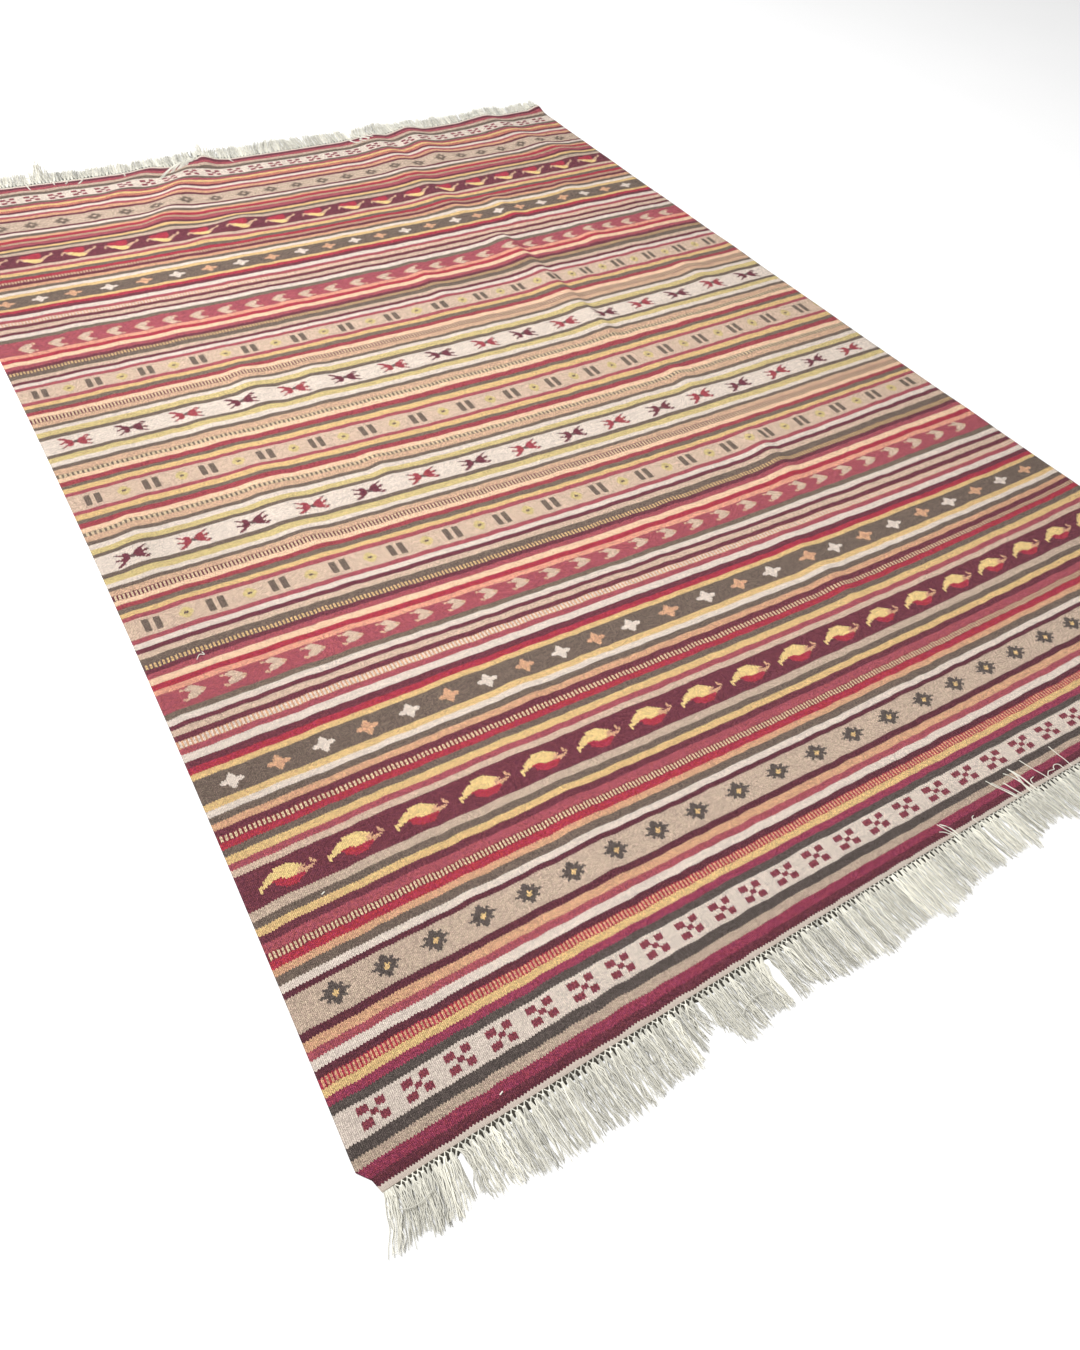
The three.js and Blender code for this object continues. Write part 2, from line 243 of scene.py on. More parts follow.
# Motif charts, a character for each stitch, read from the far side of the motif to its near side.
# Each is (stitch width, stitch height, rows).
CHARTS = {
    "five_blocks": (2.7, 2.8, (
        *("cccccc....ccccc",) * 4,
        *("......cccc.....",) * 3,
        *("cccccc....ccccc",) * 4,
    )),
    "star": (2.85, 2.3, (
        ".......ggg.......",
        ".......ggg.......",
        "......ggggg......",
        "...gg.ggggg.gg...",
        "...ggggggggggg...",
        "....ggggggggg....",
        "...gggggyggggg...",
        "ggggggggyyyggggg.",
        ".ggggggyyyggggggg",
        "...ggggyyygggg...",
        "....ggggygggg....",
        "...ggggggggggg...",
        "...gg.ggggg.gg...",
        "......ggggg......",
        ".......ggg.......",
        ".......ggg.......",
    )),
    "paisley": (4.2, 3.0, (
        ".......yyyyyy.........",
        ".......yyyyyyy........",
        ".....yyyyyyyyyy.......",
        "....yyyyyyyyyyyy....p.",
        "...yyyyyyyyyyyyyy...p.",
        "..yyyyyyyyyyyyyypp..pp",
        "..yyyyyyyyyyyyypp....p",
        "yyyyyrrrryyyyyypppppp.",
        "yyy...rrrryyyypppppp..",
        "y.....rrrrrrrrrrrp....",
        "y.....rrrrrrrrrrr.....",
        ".......rrrrrrrrr......",
        "........rrrrrrr.......",
        ".........rrrrr........",
    )),
    "low_paisley": (4.2, 3.4, (
        ".........yyyy.........",
        "........yyyyyy........",
        ".......yyyyyyyy.......",
        "......yyyyyyyyp.......",
        "....ppyyyyyyyppp......",
        "p...pyyyyyyyypppp.....",
        "p..pyyyyyyrrr.ppp.....",
        "pp.pyyyyrrrrrr.ppp....",
        ".pppppprrrrrrr..ppp...",
        ".ppprrrrrrrrrrr..pppp.",
        "..rrrrrrrrrrrrr.....pp",
        "...rrrrrrrrrrrr.....pp",
        "...rrrrrrrrrrrr......p",
        "....rrrrrrrrrrr.......",
        ".........rrrrrr.......",
    )),
    "small_star": (3.1, 2.5, (
        "......w......",
        ".....www.....",
        ".....www.....",
        "....wwwww....",
        "....wwwww....",
        ".wwwwwwwwwww.",
        "wwwwwwwwwwwww",
        "wwwwwwwwwwwww",
        ".wwwwwwwwwww.",
        "....wwwww....",
        "....wwwww....",
        ".....www.....",
        ".....www.....",
        "......w......",
    )),
    "arrow_leaf": (3.1, 2.5, (
        ".....ttt......",
        "pp.tttttt.....",
        "pppttttttt....",
        "...tttttttt...",
        "....tttttttt..",
        "......ttttttp.",
        ".....ttttttppp",
        "....tttttttppp",
        "...tttttttttp.",
        "...ttttttttt..",
        "pp.ttttttt....",
        "pppttttt......",
        ".pp...........",
    )),
    "bars_and_flower": (4.2, 2.9, (
        "ggg..ggg..............",
        "ggg..ggg..........ff..",
        "ggg..ggg.........ffff.",
        "ggg..ggg.........ffff.",
        "ggg..ggg........ffffff",
        "ggg..ggg........ffooff",
        "ggg..ggg........ffooff",
        "ggg..ggg........ffffff",
        "ggg..ggg.........ffff.",
        "ggg..ggg.........ffff.",
        "ggg..ggg..........ff..",
        "ggg..ggg..............",
    )),
    "claws": (4.0, 2.55, (
        "...............oo",
        "..............mm.",
        "oo..........mmm..",
        ".mm.mm.....mmm...",
        "..mmmmm...mmmm...",
        "...mmmm...mmmm.mo",
        "....mmm..mmmmmmmo",
        "....mmmmommmmmmm.",
        "mm.mmmmoommmmm...",
        "ommmmmmooommmm...",
        "..mmmmm.oommmmm..",
        "...mmmm...mmmmm..",
        "...mmm.....mmm.mo",
        "..mmm........mmmo",
        ".mmm..........mm.",
        "mmmo.............",
        "om...............",
    )),
}

# Where the charts go: the chart, the middle of its band, the usual distance between two motifs, then the
# places of the motifs in the near half and in the far half. A place is a motif's number and its centre,
# and the motifs between two of them are evenly spaced. Then come whether the chart faces the other way
# across the rug in the far half, and the yarn of each letter. A second yarn is that of odd motifs.
MOTIFS = (
    ("five_blocks", 82, 66,
     ((0, 49), (4, 309), (5, 381), (9, 633), (10, 691), (15, 1015), (19, 1294), (29, 1960)),
     ((0, 38), (3, 221), (7, 482), (12, 810), (14, 942), (18, 1191), (20, 1334), (24, 1573), (30, 1948)),
     False, {"c": "claret"}),
    ("star", 255, 81,
     ((0, 66), (8, 703), (14, 1213), (18, 1541), (23, 1946)), (),
     False, {"g": "charcoal", "y": "gold"}),
    ("star", 255, 81, (),
     ((0, 77), (3, 324), (7, 672), (10, 925), (17, 1492), (20, 1711), (23, 1933)),
     False, {"g": "dark_grey", "y": "tan"}),
    ("paisley", 465, 109,
     ((0, 73), (4, 533), (6, 748), (10, 1195), (17, 1925)), (),
     False, {"y": "pale_yellow", "r": "bright_red", "p": "peach"}),
    ("low_paisley", 465, 109, (),
     ((0, 86), (1, 200), (4, 541), (9, 1100), (10, 1199), (11, 1312), (15, 1725), (17, 1936)),
     False, {"y": "pale_yellow", "r": "bright_red", "p": "dusty_peach"}),
    ("small_star", 672, 80,
     ((0, 57), (4, 378), (7, 610), (10, 841), (12, 1021), (14, 1183), (15, 1282), (16, 1351), (23, 1934)),
     ((1, 75), (3, 237), (5, 419), (10, 855), (15, 1248), (16, 1334), (19, 1550), (24, 1938)),
     False, {"w": "ivory peach"}),
    ("arrow_leaf", 881, 72,
     ((0, 61), (5, 434), (8, 641), (17, 1275), (19, 1422), (20, 1480), (26, 1924)),
     ((0, 70), (6, 484), (12, 917), (14, 1081), (17, 1303), (18, 1390), (19, 1454), (26, 1938)),
     True, {"t": "light_tan", "p": "dusty_peach"}),
    ("bars_and_flower", 1075, 119,
     ((0, 76), (5, 693), (6, 805), (10, 1281), (11, 1399), (13, 1619), (16, 1980)),
     ((0, 76), (2, 319), (7, 955), (8, 1097), (11, 1444), (12, 1546), (16, 1978)),
     False, {"g": "dark_grey", "f": "straw", "o": "olive"}),
    ("claws", 1271, 124,
     ((0, 68), (2, 311), (3, 441), (8, 1072), (9, 1186), (10, 1317), (12, 1553), (15, 1924)),
     ((1, 69), (3, 314), (4, 445), (8, 954), (9, 1083), (10, 1188), (12, 1443), (13, 1559), (16, 1925)),
     False, {"m": "maroon crimson", "o": "olive"}),
    ("bars_and_flower", MIDDLE, 119,
     ((0, 77), (2, 321), (3, 450), (4, 563), (8, 1057), (13, 1623), (16, 1973)),
     ((0, 77), (2, 321), (3, 450), (4, 563), (8, 1057), (13, 1623), (16, 1973)),
     False, {"g": "dark_grey", "f": "straw", "o": "olive"}),
)
MOTIF_SHAKE = 0.8  # how far a motif's stitches stray sideways
MARGIN = 30  # the tables of motifs go on this far past the selvedges
OUT_OF_REACH = 1000

# Fringes, in tables by u. outward is the way the strands point along Y, leans how far the tips drift
# along X, and tips how far out they end. A parting is where a slit opens, how wide, and how far the tips
# beside it spread. A tuft is where strands stand up, over what reach and how high. Over the bare length
# the strands start at the cloth and hide the heading. pile is how high the strands lie on each other.
NEAR_FRINGE = {
    "end": "near",
    "edge": NEAR_END,
    "outward": -1,
    "leans": ((0, -22), (25, -15), (60, -9), (121, -8), (128, 0), (260, 5), (900, 4), (2000, 2)),
    "seed": 3,
    "tips": ((0, 72), (20, 76), (60, 77), (104, 81), (112, 76), (122, 72), (145, 82), (160, 77),
             (180, 82), (200, 87), (240, 94), (350, 95), (420, 88), (470, 84), (508, 50), (530, 84),
             (545, 96), (600, 80), (680, 84), (730, 92), (820, 94), (945, 97), (975, 92), (1060, 80),
             (1160, 81), (1205, 70), (1225, 62), (1260, 84), (1420, 92), (1560, 84), (1590, 74),
             (1700, 90), (1830, 86), (1930, 92), (2000, 78)),
    "partings": ((82, 1.5, 1), (109, 4, 2), (124, 6, 2), (231, 2, 1), (512, 6, 4), (638, 10, 5),
                 (668, 3, 1), (1103, 4, 1), (1142, 5, 3), (1248, 2, 1), (1590, 6, 5), (1830, 5, 4)),
    "tufts": (),
    "bare": 18,
    "pile": 4.5,
}
FAR_FRINGE = {
    "end": "far",
    "edge": FAR_END,
    "outward": 1,
    "leans": ((0, 5), (120, 9), (2000, 12)),
    "seed": 11,
    "tips": ((0, 66), (250, 74), (285, 80), (305, 68), (340, 84), (400, 64), (450, 56), (500, 66),
             (600, 70), (700, 78), (820, 84), (1000, 82), (1280, 76), (1296, 52), (1320, 80),
             (1420, 82), (1540, 72), (1700, 62), (1800, 78), (1885, 56), (2000, 66)),
    "partings": ((306, 2, 2), (858, 4, 3), (1296, 6, 6), (1530, 3, 2), (1700, 5, 4), (1880, 5, 4)),
    "tufts": ((340, 38, 38), (815, 32, 22), (1060, 120, 4), (1400, 80, 5), (1610, 60, 4)),
    "bare": 0,
    "pile": 9,
}
TIP_INSET = 3  # the tips end this much short of the table, and stray about it
TUFT_TOP = 38  # no strand stands higher off the floor
PILE_LOW = 0.9
ROOT_LIFT = 1.5
STRAND_START = ((650, 0.5), (900, 0.25))  # by u, the share of the heading that the strands leave open
BARE_START = 0.1
KNOT_FAN = 9  # how wide the strands of a knot spread
FALL_SHARE = 0.22  # share of its length over which a strand comes down, more where the cloth is raised
FALL_SLOPE = 40
SLIT_REACH = 11
SPREAD_REACH = 22
STRAND_TAPER = 0.6
STRAND_WAVER = 0.0022  # metres

# The heading: where its knots sit, against its width, and how high. The sizes of a knot are in metres.
KNOT_PLACE = 0.46
KNOT_LIFT = 0.6
KNOT = {
    "Leg Length": 0.0062, "Leg Spread": 0.0047, "Leg Radius": 0.00085, "Knot Size": (0.0028, 0.0024, 0.0015),
}
# Painted shade under the knots: the two colours of a dark strip that shows through the holes between them,
# and how far its outer edge strays
PAINTED_HOLE_SHADES = ("#1f1e1c", "#565249")
STRIP_STRAY = 5

# Loose ends of cotton that lie on the cloth or across the near fringe: how many side by side, how high,
# and the points (u, v)
LOOSE_THREADS = (
    (1, 0, ((1030, 10), (1038, 5), (1047, -8))),
    (2, 0, ((1038, 23), (1043, 11), (1049, -4), (1051, -20))),
    (2, 0, ((1042, 21), (1050, 12), (1054, -2), (1055, -18))),
    (1, 0, ((1105, 5), (1099, 2), (1100, -10))),
    (1, 0, ((1176, 46), (1183, 29), (1190, 14), (1198, -6))),
    (3, 0, ((1180, 38), (1188, 22), (1195, 9), (1201, -8))),
    (2, 0, ((1201, 28), (1206, 12), (1212, -6))),
    (2, 0, ((1216, 42), (1222, 34), (1228, 18), (1232, 0), (1235, -14))),
    (2, 0, ((1230, 46), (1233, 30), (1230, 12), (1229, -12))),
    (2, 0, ((1233, 40), (1238, 20), (1240, 0), (1242, -14))),
    (1, 0, ((1245, 0), (1248, 8), (1257, 10))),
    (1, 0, ((1262, 48), (1268, 26), (1276, 4), (1278, -8))),
    (1, 0, ((1281, -2), (1290, 5), (1302, 3), (1304, 7), (1311, 10), (1318, 6), (1319, -4))),
    (1, 0, ((1333, 44), (1334, 24), (1336, 8), (1336, -8))),
    (1, 5, ((8, -36), (22, -43), (44, -45), (70, -40))),
    (1, 5, ((556, -70), (572, -60), (594, -58), (618, -66))),
    (1, 0, ((90, 952), (98, 962), (106, 958), (104, 966))),
    (2, 0, ((297, 2994), (296, 2972), (298, 2955))),
    (2, 0, ((371, 2994), (369, 2980), (368, 2968))),
    (2, 0, ((412, 2994), (404, 2974), (398, 2964))),
    (3, 0, ((456, 2996), (446, 2972), (432, 2955))),
    (2, 0, ((566, 2998), (570, 2976), (566, 2962))),
    (6, 0, ((732, 2998), (706, 2972), (682, 2946), (658, 2912))),
    (7, 0, ((745, 3002), (726, 2978), (712, 2958), (700, 2938))),
    (8, 0, ((760, 3002), (746, 2980), (734, 2962), (724, 2948))),
    (8, 0, ((775, 3002), (762, 2982), (752, 2966), (744, 2952))),
    (6, 0, ((788, 3002), (780, 2988), (770, 2974))),
    (2, 0, ((893, 2996), (890, 2978), (894, 2962))),
    (4, 0, ((1294, 2998), (1288, 2976), (1298, 2956), (1312, 2950))),
    (4, 0, ((1316, 2998), (1326, 2980), (1316, 2964), (1330, 2950))),
    (5, 0, ((1338, 2998), (1332, 2982), (1345, 2966), (1338, 2954))),
    (3, 0, ((1356, 2998), (1352, 2984), (1362, 2970))),
)
THREAD_STEP = 1.7
THREAD_STAGGER = 3
THREAD_RADIUS = 0.75
FLECKS = ((207, 17), (109.5, 411))
FLECK_SIZE = (5.5, 2.2)

# The camera, from a fit to the stripes of the photograph, placed from the near left corner of the stripes
CAMERA_PLACE = (-80.6, -406.5, 1423.7)
CAMERA_AZIMUTH = 34.27
CAMERA_DOWN = 48.09
CAMERA_ROLL = 4.66
FOCAL_SHARE = 1056.34 / 1350  # focal length against the height of the image
SENSOR_HEIGHT = 36

# The stage, in metres
FLOOR_HALF = 12
LAMP_SIZE = (4, 3)
LAMP_PLACE = (-2.1, 1.2, 4.4)


def linear(hex_colour):
    """An sRGB hex colour as linear red, green and blue."""
    parts = [int(hex_colour[i:i + 2], 16) / 255 for i in (1, 3, 5)]
    return tuple(c / 12.92 if c <= 0.04045 else ((c + 0.055) / 1.055) ** 2.4 for c in parts)


def tint(name, hex_colour, description):
    """A property for one colour."""
    return bpy.props.FloatVectorProperty(
        name=name, description=description, subtype="COLOR", size=3, min=0, max=1, default=linear(hex_colour)
    )


def amount(name, default, description, **kind):
    """A property for a number, with its unit or subtype."""
    return bpy.props.FloatProperty(name=name, description=description, default=default, **kind)


def length(name, default, description):
    """A property for a length in metres."""
    return amount(name, default, description, unit="LENGTH")


def count_of(name, default, description):
    """A property for a whole number."""
    return bpy.props.IntProperty(name=name, description=description, default=default)


class KilimYarns(bpy.types.PropertyGroup):
    """The dyed wool of the weft, and the undyed cotton of the warp."""

    maroon: tint("Maroon", "#61323b", "Dark wine wool of the outer stripes and the paisley bands")
    raspberry: tint("Raspberry", "#914951", "Heathered raspberry wool")
    crimson: tint("Crimson", "#8b3d44", "Crimson wool")
    bright_red: tint("Bright red", "#963340", "Clear red wool")
    tan: tint("Tan", "#b5a08e", "Heathered tan wool of the star bands")
    light_tan: tint("Light tan", "#c3aa96", "Paler tan wool of the middle of the rug")
    dark_grey: tint("Dark grey", "#64564d", "Dark grey wool")
    charcoal: tint("Charcoal", "#514844", "Darker lot of the dark grey wool")
    wine: tint("Wine", "#85394c", "Darker lot of the raspberry wool")
    claret: tint("Claret", "#783b44", "Claret wool of the block motifs")
    deep_maroon: tint("Deep maroon", "#552d35", "Darker lot of the maroon wool")
    grey_green: tint("Grey green", "#695b50", "Charcoal and olive wool spun together")
    olive: tint("Olive", "#5e4b4a", "Olive brown wool")
    ivory: tint("Ivory", "#d7c8bb", "Undyed wool")
    umber: tint("Umber", "#6d2c33", "Reddish brown wool of the pick-and-pick stripes")
    cream: tint("Cream", "#d5be9c", "Cream wool of the short bars")
    gold: tint("Gold", "#d0af7b", "Golden wool")
    pale_yellow: tint("Pale yellow", "#dec084", "Clear pale yellow wool of the paisleys")
    salmon: tint("Salmon", "#d0947d", "Salmon wool")
    peach: tint("Peach", "#c29677", "Orange peach wool")
    light_peach: tint("Light peach", "#e2be9f", "Pale peach wool")
    straw: tint("Straw", "#c2ae7a", "Dull yellow wool of the flowers")
    dusty_peach: tint("Dusty peach", "#bf9d83", "Pinkish peach wool")
    cotton: tint("Cotton", "#e4e1d4", "Undyed cotton of the warp and the fringes")


class KilimWeave(bpy.types.PropertyGroup):
    """Sizes of the weave."""

    thickness: length("Thickness", 0.0025, "Thickness of the cloth")
    across: count_of("Cells across", 220, "Cells of the cloth's mesh along a stripe")
    along: count_of("Cells along", 166, "Cells of the cloth's mesh along the rug")
    rib: length("Rib", 0.0026, "Width of one lengthwise rib, which covers one warp")
    pick: length("Pick", 0.0017, "Height of one weft on the face")
    heather: amount("Heather", 1.3, "How far a stitch strays from its yarn's colour", subtype="FACTOR")
    ripple: length("Ripple", 0.0028, "Height of the small ripples between the folds")


class KilimFringe(bpy.types.PropertyGroup):
    """Sizes of the knots and strands."""

    knot_pitch: length("Knot pitch", 0.01, "Distance from knot to knot")
    strands: count_of("Strands", 10, "Strands that hang from one knot")
    strand_radius: length("Strand radius", 0.00085, "Radius of one twisted cotton strand")
    steps: count_of("Steps", 12, "Points along one strand")
    sides: count_of("Sides", 4, "Sides of one strand")
    pile: amount("Pile", 1, "How high the strands lie on each other, against the photo")


class KilimStage(bpy.types.PropertyGroup):
    """Light and floor."""

    sky: amount("Room light", 0.57, "Strength of the even light from all sides")
    key: amount("Key light", 302, "Power of the large soft light", unit="POWER")
    floor_colour: tint("Floor", "#fdfdfd", "Colour of the plain floor")


class KilimSettings(bpy.types.PropertyGroup):
    """Everything that a user can change."""

    yarns: bpy.props.PointerProperty(type=KilimYarns)
    weave: bpy.props.PointerProperty(type=KilimWeave)
    fringe: bpy.props.PointerProperty(type=KilimFringe)
    stage: bpy.props.PointerProperty(type=KilimStage)


# Shape of the cloth


def ease(t):
    """0 below 0 and 1 above 1, with no corner between."""
    s = np.clip(t, 0, 1)
    return s * s * (3 - 2 * s)


def fold_height(fold, u, v):
    """How high one fold lifts the cloth at (u, v)."""
    x0, y0, x1, y1, bend, h0, h1, left, right, fade0, fade1 = fold
    run_x, run_y = x1 - x0, y1 - y0
    run = math.hypot(run_x, run_y)
    along = ((u - x0) * run_x + (v - y0) * run_y) / run**2
    t = np.clip(along, 0, 1)
    aside = ((u - x0) * run_y - (v - y0) * run_x) / run + bend * 4 * t * (1 - t)
    reach = np.where(aside < 0, left, right)
    start = ease(along / fade0) if fade0 else 1
    stop = ease((1 - along) / fade1) if fade1 else 1
    return (h0 + (h1 - h0) * t) * start * stop * np.exp(-((aside / reach) ** 2))


def underside(u, v):
    """Height in millimetres of the cloth's underside above the floor."""
    highest = np.max([fold_height(fold, u, v) for fold in FOLDS], axis=0)
    from_corner = np.hypot(CLOTH_WIDTH - u, FAR_END - v)
    curl = CURL_HEIGHT * ease(1 - from_corner / CURL_REACH)
    return np.maximum(highest + curl - FLAT_BELOW, 0)


def on_floor(u, v):
    """Where the point (u, v) of the cloth lies on the floor, in millimetres."""
    across = u / CLOTH_WIDTH
    along = v / STRIPED_LENGTH
    bow = 4 * along * (1 - along)
    end_bow = 4 * across * (1 - across)
    draw = ease(1 - np.maximum(v, 0) / CORNER_LENGTH) * ease(1 - u / CORNER_REACH)
    side_bow = bow * (LEFT_BOW * (1 - across) + RIGHT_BOW * across)
    x = u - across * TAPER * (along - 0.5) + side_bow + draw * CORNER_DRAW
    near = NEAR_START + NEAR_SKEW * across + NEAR_BOW * end_bow
    far = FAR_START + FAR_SKEW * across + FAR_DROP * across**3 + FAR_BOW * end_bow
    y = v + near * (1 - along) + far * along
    return x, y


def frame_shift():
    """What takes a place measured from the near left corner to the frame, in metres."""
    edge = np.linspace(0, 1, 400)
    outline_u = np.concatenate([edge * CLOTH_WIDTH, edge * 0])
    outline_v = np.concatenate([edge * 0 + NEAR_END, edge * (FAR_END - NEAR_END) + NEAR_END])
    x, y = on_floor(outline_u, outline_v)
    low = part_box("kilim_cloth")[0]
    return low.x - x.min() * MM, low.y - y.min() * MM


def ripple(u, v):
    """Small uneven ripples, between 0 and 1, that run mostly along the rug and die out at its ends."""
    across, along = RIPPLE_LENGTHS
    places = zip(np.ravel(u), np.ravel(v))
    heights = [
        noise.noise(Vector(((x + RIPPLE_SLANT * y) / across, y / along, RIPPLE_SEED))) for x, y in places
    ]
    ends = ease((v - NEAR_END) / RIPPLE_FADE) * ease((FAR_END - v) / RIPPLE_FADE)
    return np.clip(np.reshape(heights, np.shape(u)) + RIPPLE_RISE, 0, 1) * ends


def pattern_along(us, vs):
    """How far along the pattern of the stripes the places of a grid of the cloth lie."""
    table = np.array(STRIPE_DRIFT, float)
    curves = np.polyfit(DRIFT_PLACES, table[:, 1:].T, 4)
    drift = np.array([np.polyval(curve, us[0] / CLOTH_WIDTH) for curve in curves.T])
    along = np.empty_like(vs)
    for i in range(vs.shape[1]):
        along[:, i] = np.interp(vs[:, i], table[:, 0] + drift[:, i], table[:, 0])
    return along


def motif_numbers(us, along):
    """The number of the motif at each place of a grid: whole at its centre, and a half between two."""
    bands = [(middle, pitch, near) for _, middle, pitch, near, *_ in MOTIFS if near]
    bands += [(2 * MIDDLE - middle, pitch, far) for _, middle, pitch, _, far, *_ in MOTIFS if far]
    nearest = np.argmin([np.abs(along - middle) for middle, _, _ in bands], axis=0)
    numbers = np.zeros_like(along)
    for i, (_, pitch, places) in enumerate(bands):
        (first, start), (last, stop) = places[0], places[-1]
        # Past the outer motifs the number hardly changes, so that no other one starts at the selvedge
        knots = [(first - 0.62, -MARGIN), (first - 0.5, start - pitch / 2), *places]
        knots += [(last + 0.5, stop + pitch / 2), (last + 0.62, CLOTH_WIDTH + MARGIN)]
        number, centre = zip(*knots)
        numbers = np.where(nearest == i, np.interp(us, centre, number), numbers)
    return numbers


def place(u, v, lift=0.0, height=0.0):
    """Points of the frame, in metres, for places on the cloth's underside and lift millimetres above it."""
    x, y = on_floor(u, v)
    shift_x, shift_y = frame_shift()
    z = underside(u, v) * MM + height + lift * MM
    return np.stack([x * MM + shift_x, y * MM + shift_y, z + 0 * x], axis=-1)


def past_end(end, u, outward, lift):
    """Points beside one end of the cloth, outward millimetres from the heading's inner edge."""
    points = place(u, np.full(len(u), float(end["edge"])), lift=lift)
    points[:, 1] += end["outward"] * (SEAM_GAP + outward) * MM
    return points


# Making meshes, nodes and pieces


def set_out(name, data):
    """A new object in the scene."""
    item = bpy.data.objects.new(name, data)
    bpy.context.scene.collection.objects.link(item)
    return item


def mesh_object(name, points, faces, material=None):
    """A new object with a mesh of these points and faces."""
    mesh = bpy.data.meshes.new(name)
    mesh.from_pydata([tuple(p) for p in points], [], faces)
    mesh.validate()
    if material:
        mesh.materials.append(material)
    return set_out(name, mesh)


def give(piece, name, values):
    """Stores a number at each point of a piece."""
    piece.data.attributes.new(name, "FLOAT", "POINT").data.foreach_set("value", values)


def finish_piece(piece, slot, *nodes):
    """Smooths a finished piece, lets it ride on the rug's body and hides the solids that it stands for."""
    piece.data.polygons.foreach_set("use_smooth", [True] * len(piece.data.polygons))
    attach(piece, "root")
    if nodes:
        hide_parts(*nodes)


def add(tree, kind, inputs=None, **settings):
    """Adds a node, sets its settings, and fills its inputs with values or with what other nodes give."""
    node = tree.nodes.new(kind)
    for name, value in settings.items():
        setattr(node, name, value)
    for key, value in (inputs or {}).items():
        socket = node.inputs[key]
        if isinstance(value, bpy.types.Node):
            value = value.outputs[0]
        if isinstance(value, bpy.types.NodeSocket):
            tree.links.new(value, socket)
        else:
            socket.default_value = value
    return node


def maths(tree, operation, *values):
    """Adds a Math node."""
    return add(tree, "ShaderNodeMath", dict(enumerate(values)), operation=operation)


def ranged(tree, value, low, high, to_low=0, to_high=1, kind="LINEAR"):
    """Adds a Map Range node, from between low and high to between to_low and to_high."""
    inputs = {0: value, 1: low, 2: high, 3: to_low, 4: to_high}
    return add(tree, "ShaderNodeMapRange", inputs, interpolation_type=kind)


def new_group(name, kind, inputs, outputs):
    """A node group with these sockets, what its inputs give, and the inputs' identifiers."""
    tree = bpy.data.node_groups.new(name, kind)
    identifiers = {}
    for socket, holds in inputs.items():
        made = tree.interface.new_socket(socket, in_out="INPUT", socket_type=f"NodeSocket{holds}")
        identifiers[socket] = made.identifier
    for socket, holds in outputs.items():
        tree.interface.new_socket(socket, in_out="OUTPUT", socket_type=f"NodeSocket{holds}")
    return tree, add(tree, "NodeGroupInput").outputs, identifiers


# Materials


def new_material(name):
    """A material with an empty node tree, and that tree."""
    material = bpy.data.materials.new(name)
    material.use_nodes = True
    material.node_tree.nodes.clear()
    return material, material.node_tree


def surface(tree, colour, roughness, specular, more=None):
    """Ends a material with a surface of this colour and finish."""
    inputs = {"Base Color": colour, "Roughness": roughness, "Specular IOR Level": specular, **(more or {})}
    add(tree, "ShaderNodeOutputMaterial", {"Surface": add(tree, "ShaderNodeBsdfPrincipled", inputs)})


def mixed(tree, share, under, over):
    """One colour laid over another by a share."""
    return add(tree, "ShaderNodeMix", {0: share, 6: under, 7: over}, data_type="RGBA").outputs[2]


def dye(yarns, name):
    """A yarn's colour, as a colour socket takes it."""
    return (*getattr(yarns, name), 1)


def woven_noise(tree, uv, grains, detail, roughness=0.5):
    """Noise on the cloth. grains says how many there are to a metre, across the rug and along it."""
    spot = add(tree, "ShaderNodeVectorMath", {0: uv, 1: (*grains, 1)}, operation="MULTIPLY")
    inputs = {"Vector": spot, "Scale": 1, "Detail": detail, "Roughness": roughness}
    return add(tree, "ShaderNodeTexNoise", inputs, noise_dimensions="2D")


def grain_noise(tree, grains, detail):
    """Noise in Object coordinates, with this many grains to a metre."""
    spot = add(tree, "ShaderNodeTexCoord").outputs["Object"]
    return add(tree, "ShaderNodeTexNoise", {"Vector": spot, "Scale": grains, "Detail": detail})


def stepped_ramp(tree, share, stops):
    """A ramp of even steps. Each stop is where a step starts and its red, green and blue."""
    node = add(tree, "ShaderNodeValToRGB", {"Fac": share})
    node.color_ramp.interpolation = "CONSTANT"
    elements = node.color_ramp.elements
    while len(elements) < len(stops):
        elements.new(1)
    for i, (start, colour) in enumerate(stops):
        elements[i].position = start
        elements[i].color = (*colour, 1)
    return node


def stripe_colours(tree, yarns, along):
    """The colour of the stripe that lies along millimetres from the near end: ramps laid end to end."""
    names, stops = zip(*STRIPES)
    starts = (0, *stops)
    colour = dye(yarns, names[0])
    for first in range(0, len(STRIPES), STRIPES_PER_RAMP):
        rows = range(first, min(first + STRIPES_PER_RAMP, len(STRIPES)))
        start = starts[first]
        span = starts[rows[-1] + 1] - start
        # A ramp has 256 steps, and half a step centres its error
        share = maths(tree, "MULTIPLY_ADD", maths(tree, "SUBTRACT", along, start), 1 / span, 0.5 / 255)
        ramp = stepped_ramp(
            tree, share, [((starts[i] - start) / span, getattr(yarns, names[i])) for i in rows]
        )
        colour = mixed(tree, maths(tree, "GREATER_THAN", along, start), colour, ramp)
    return colour


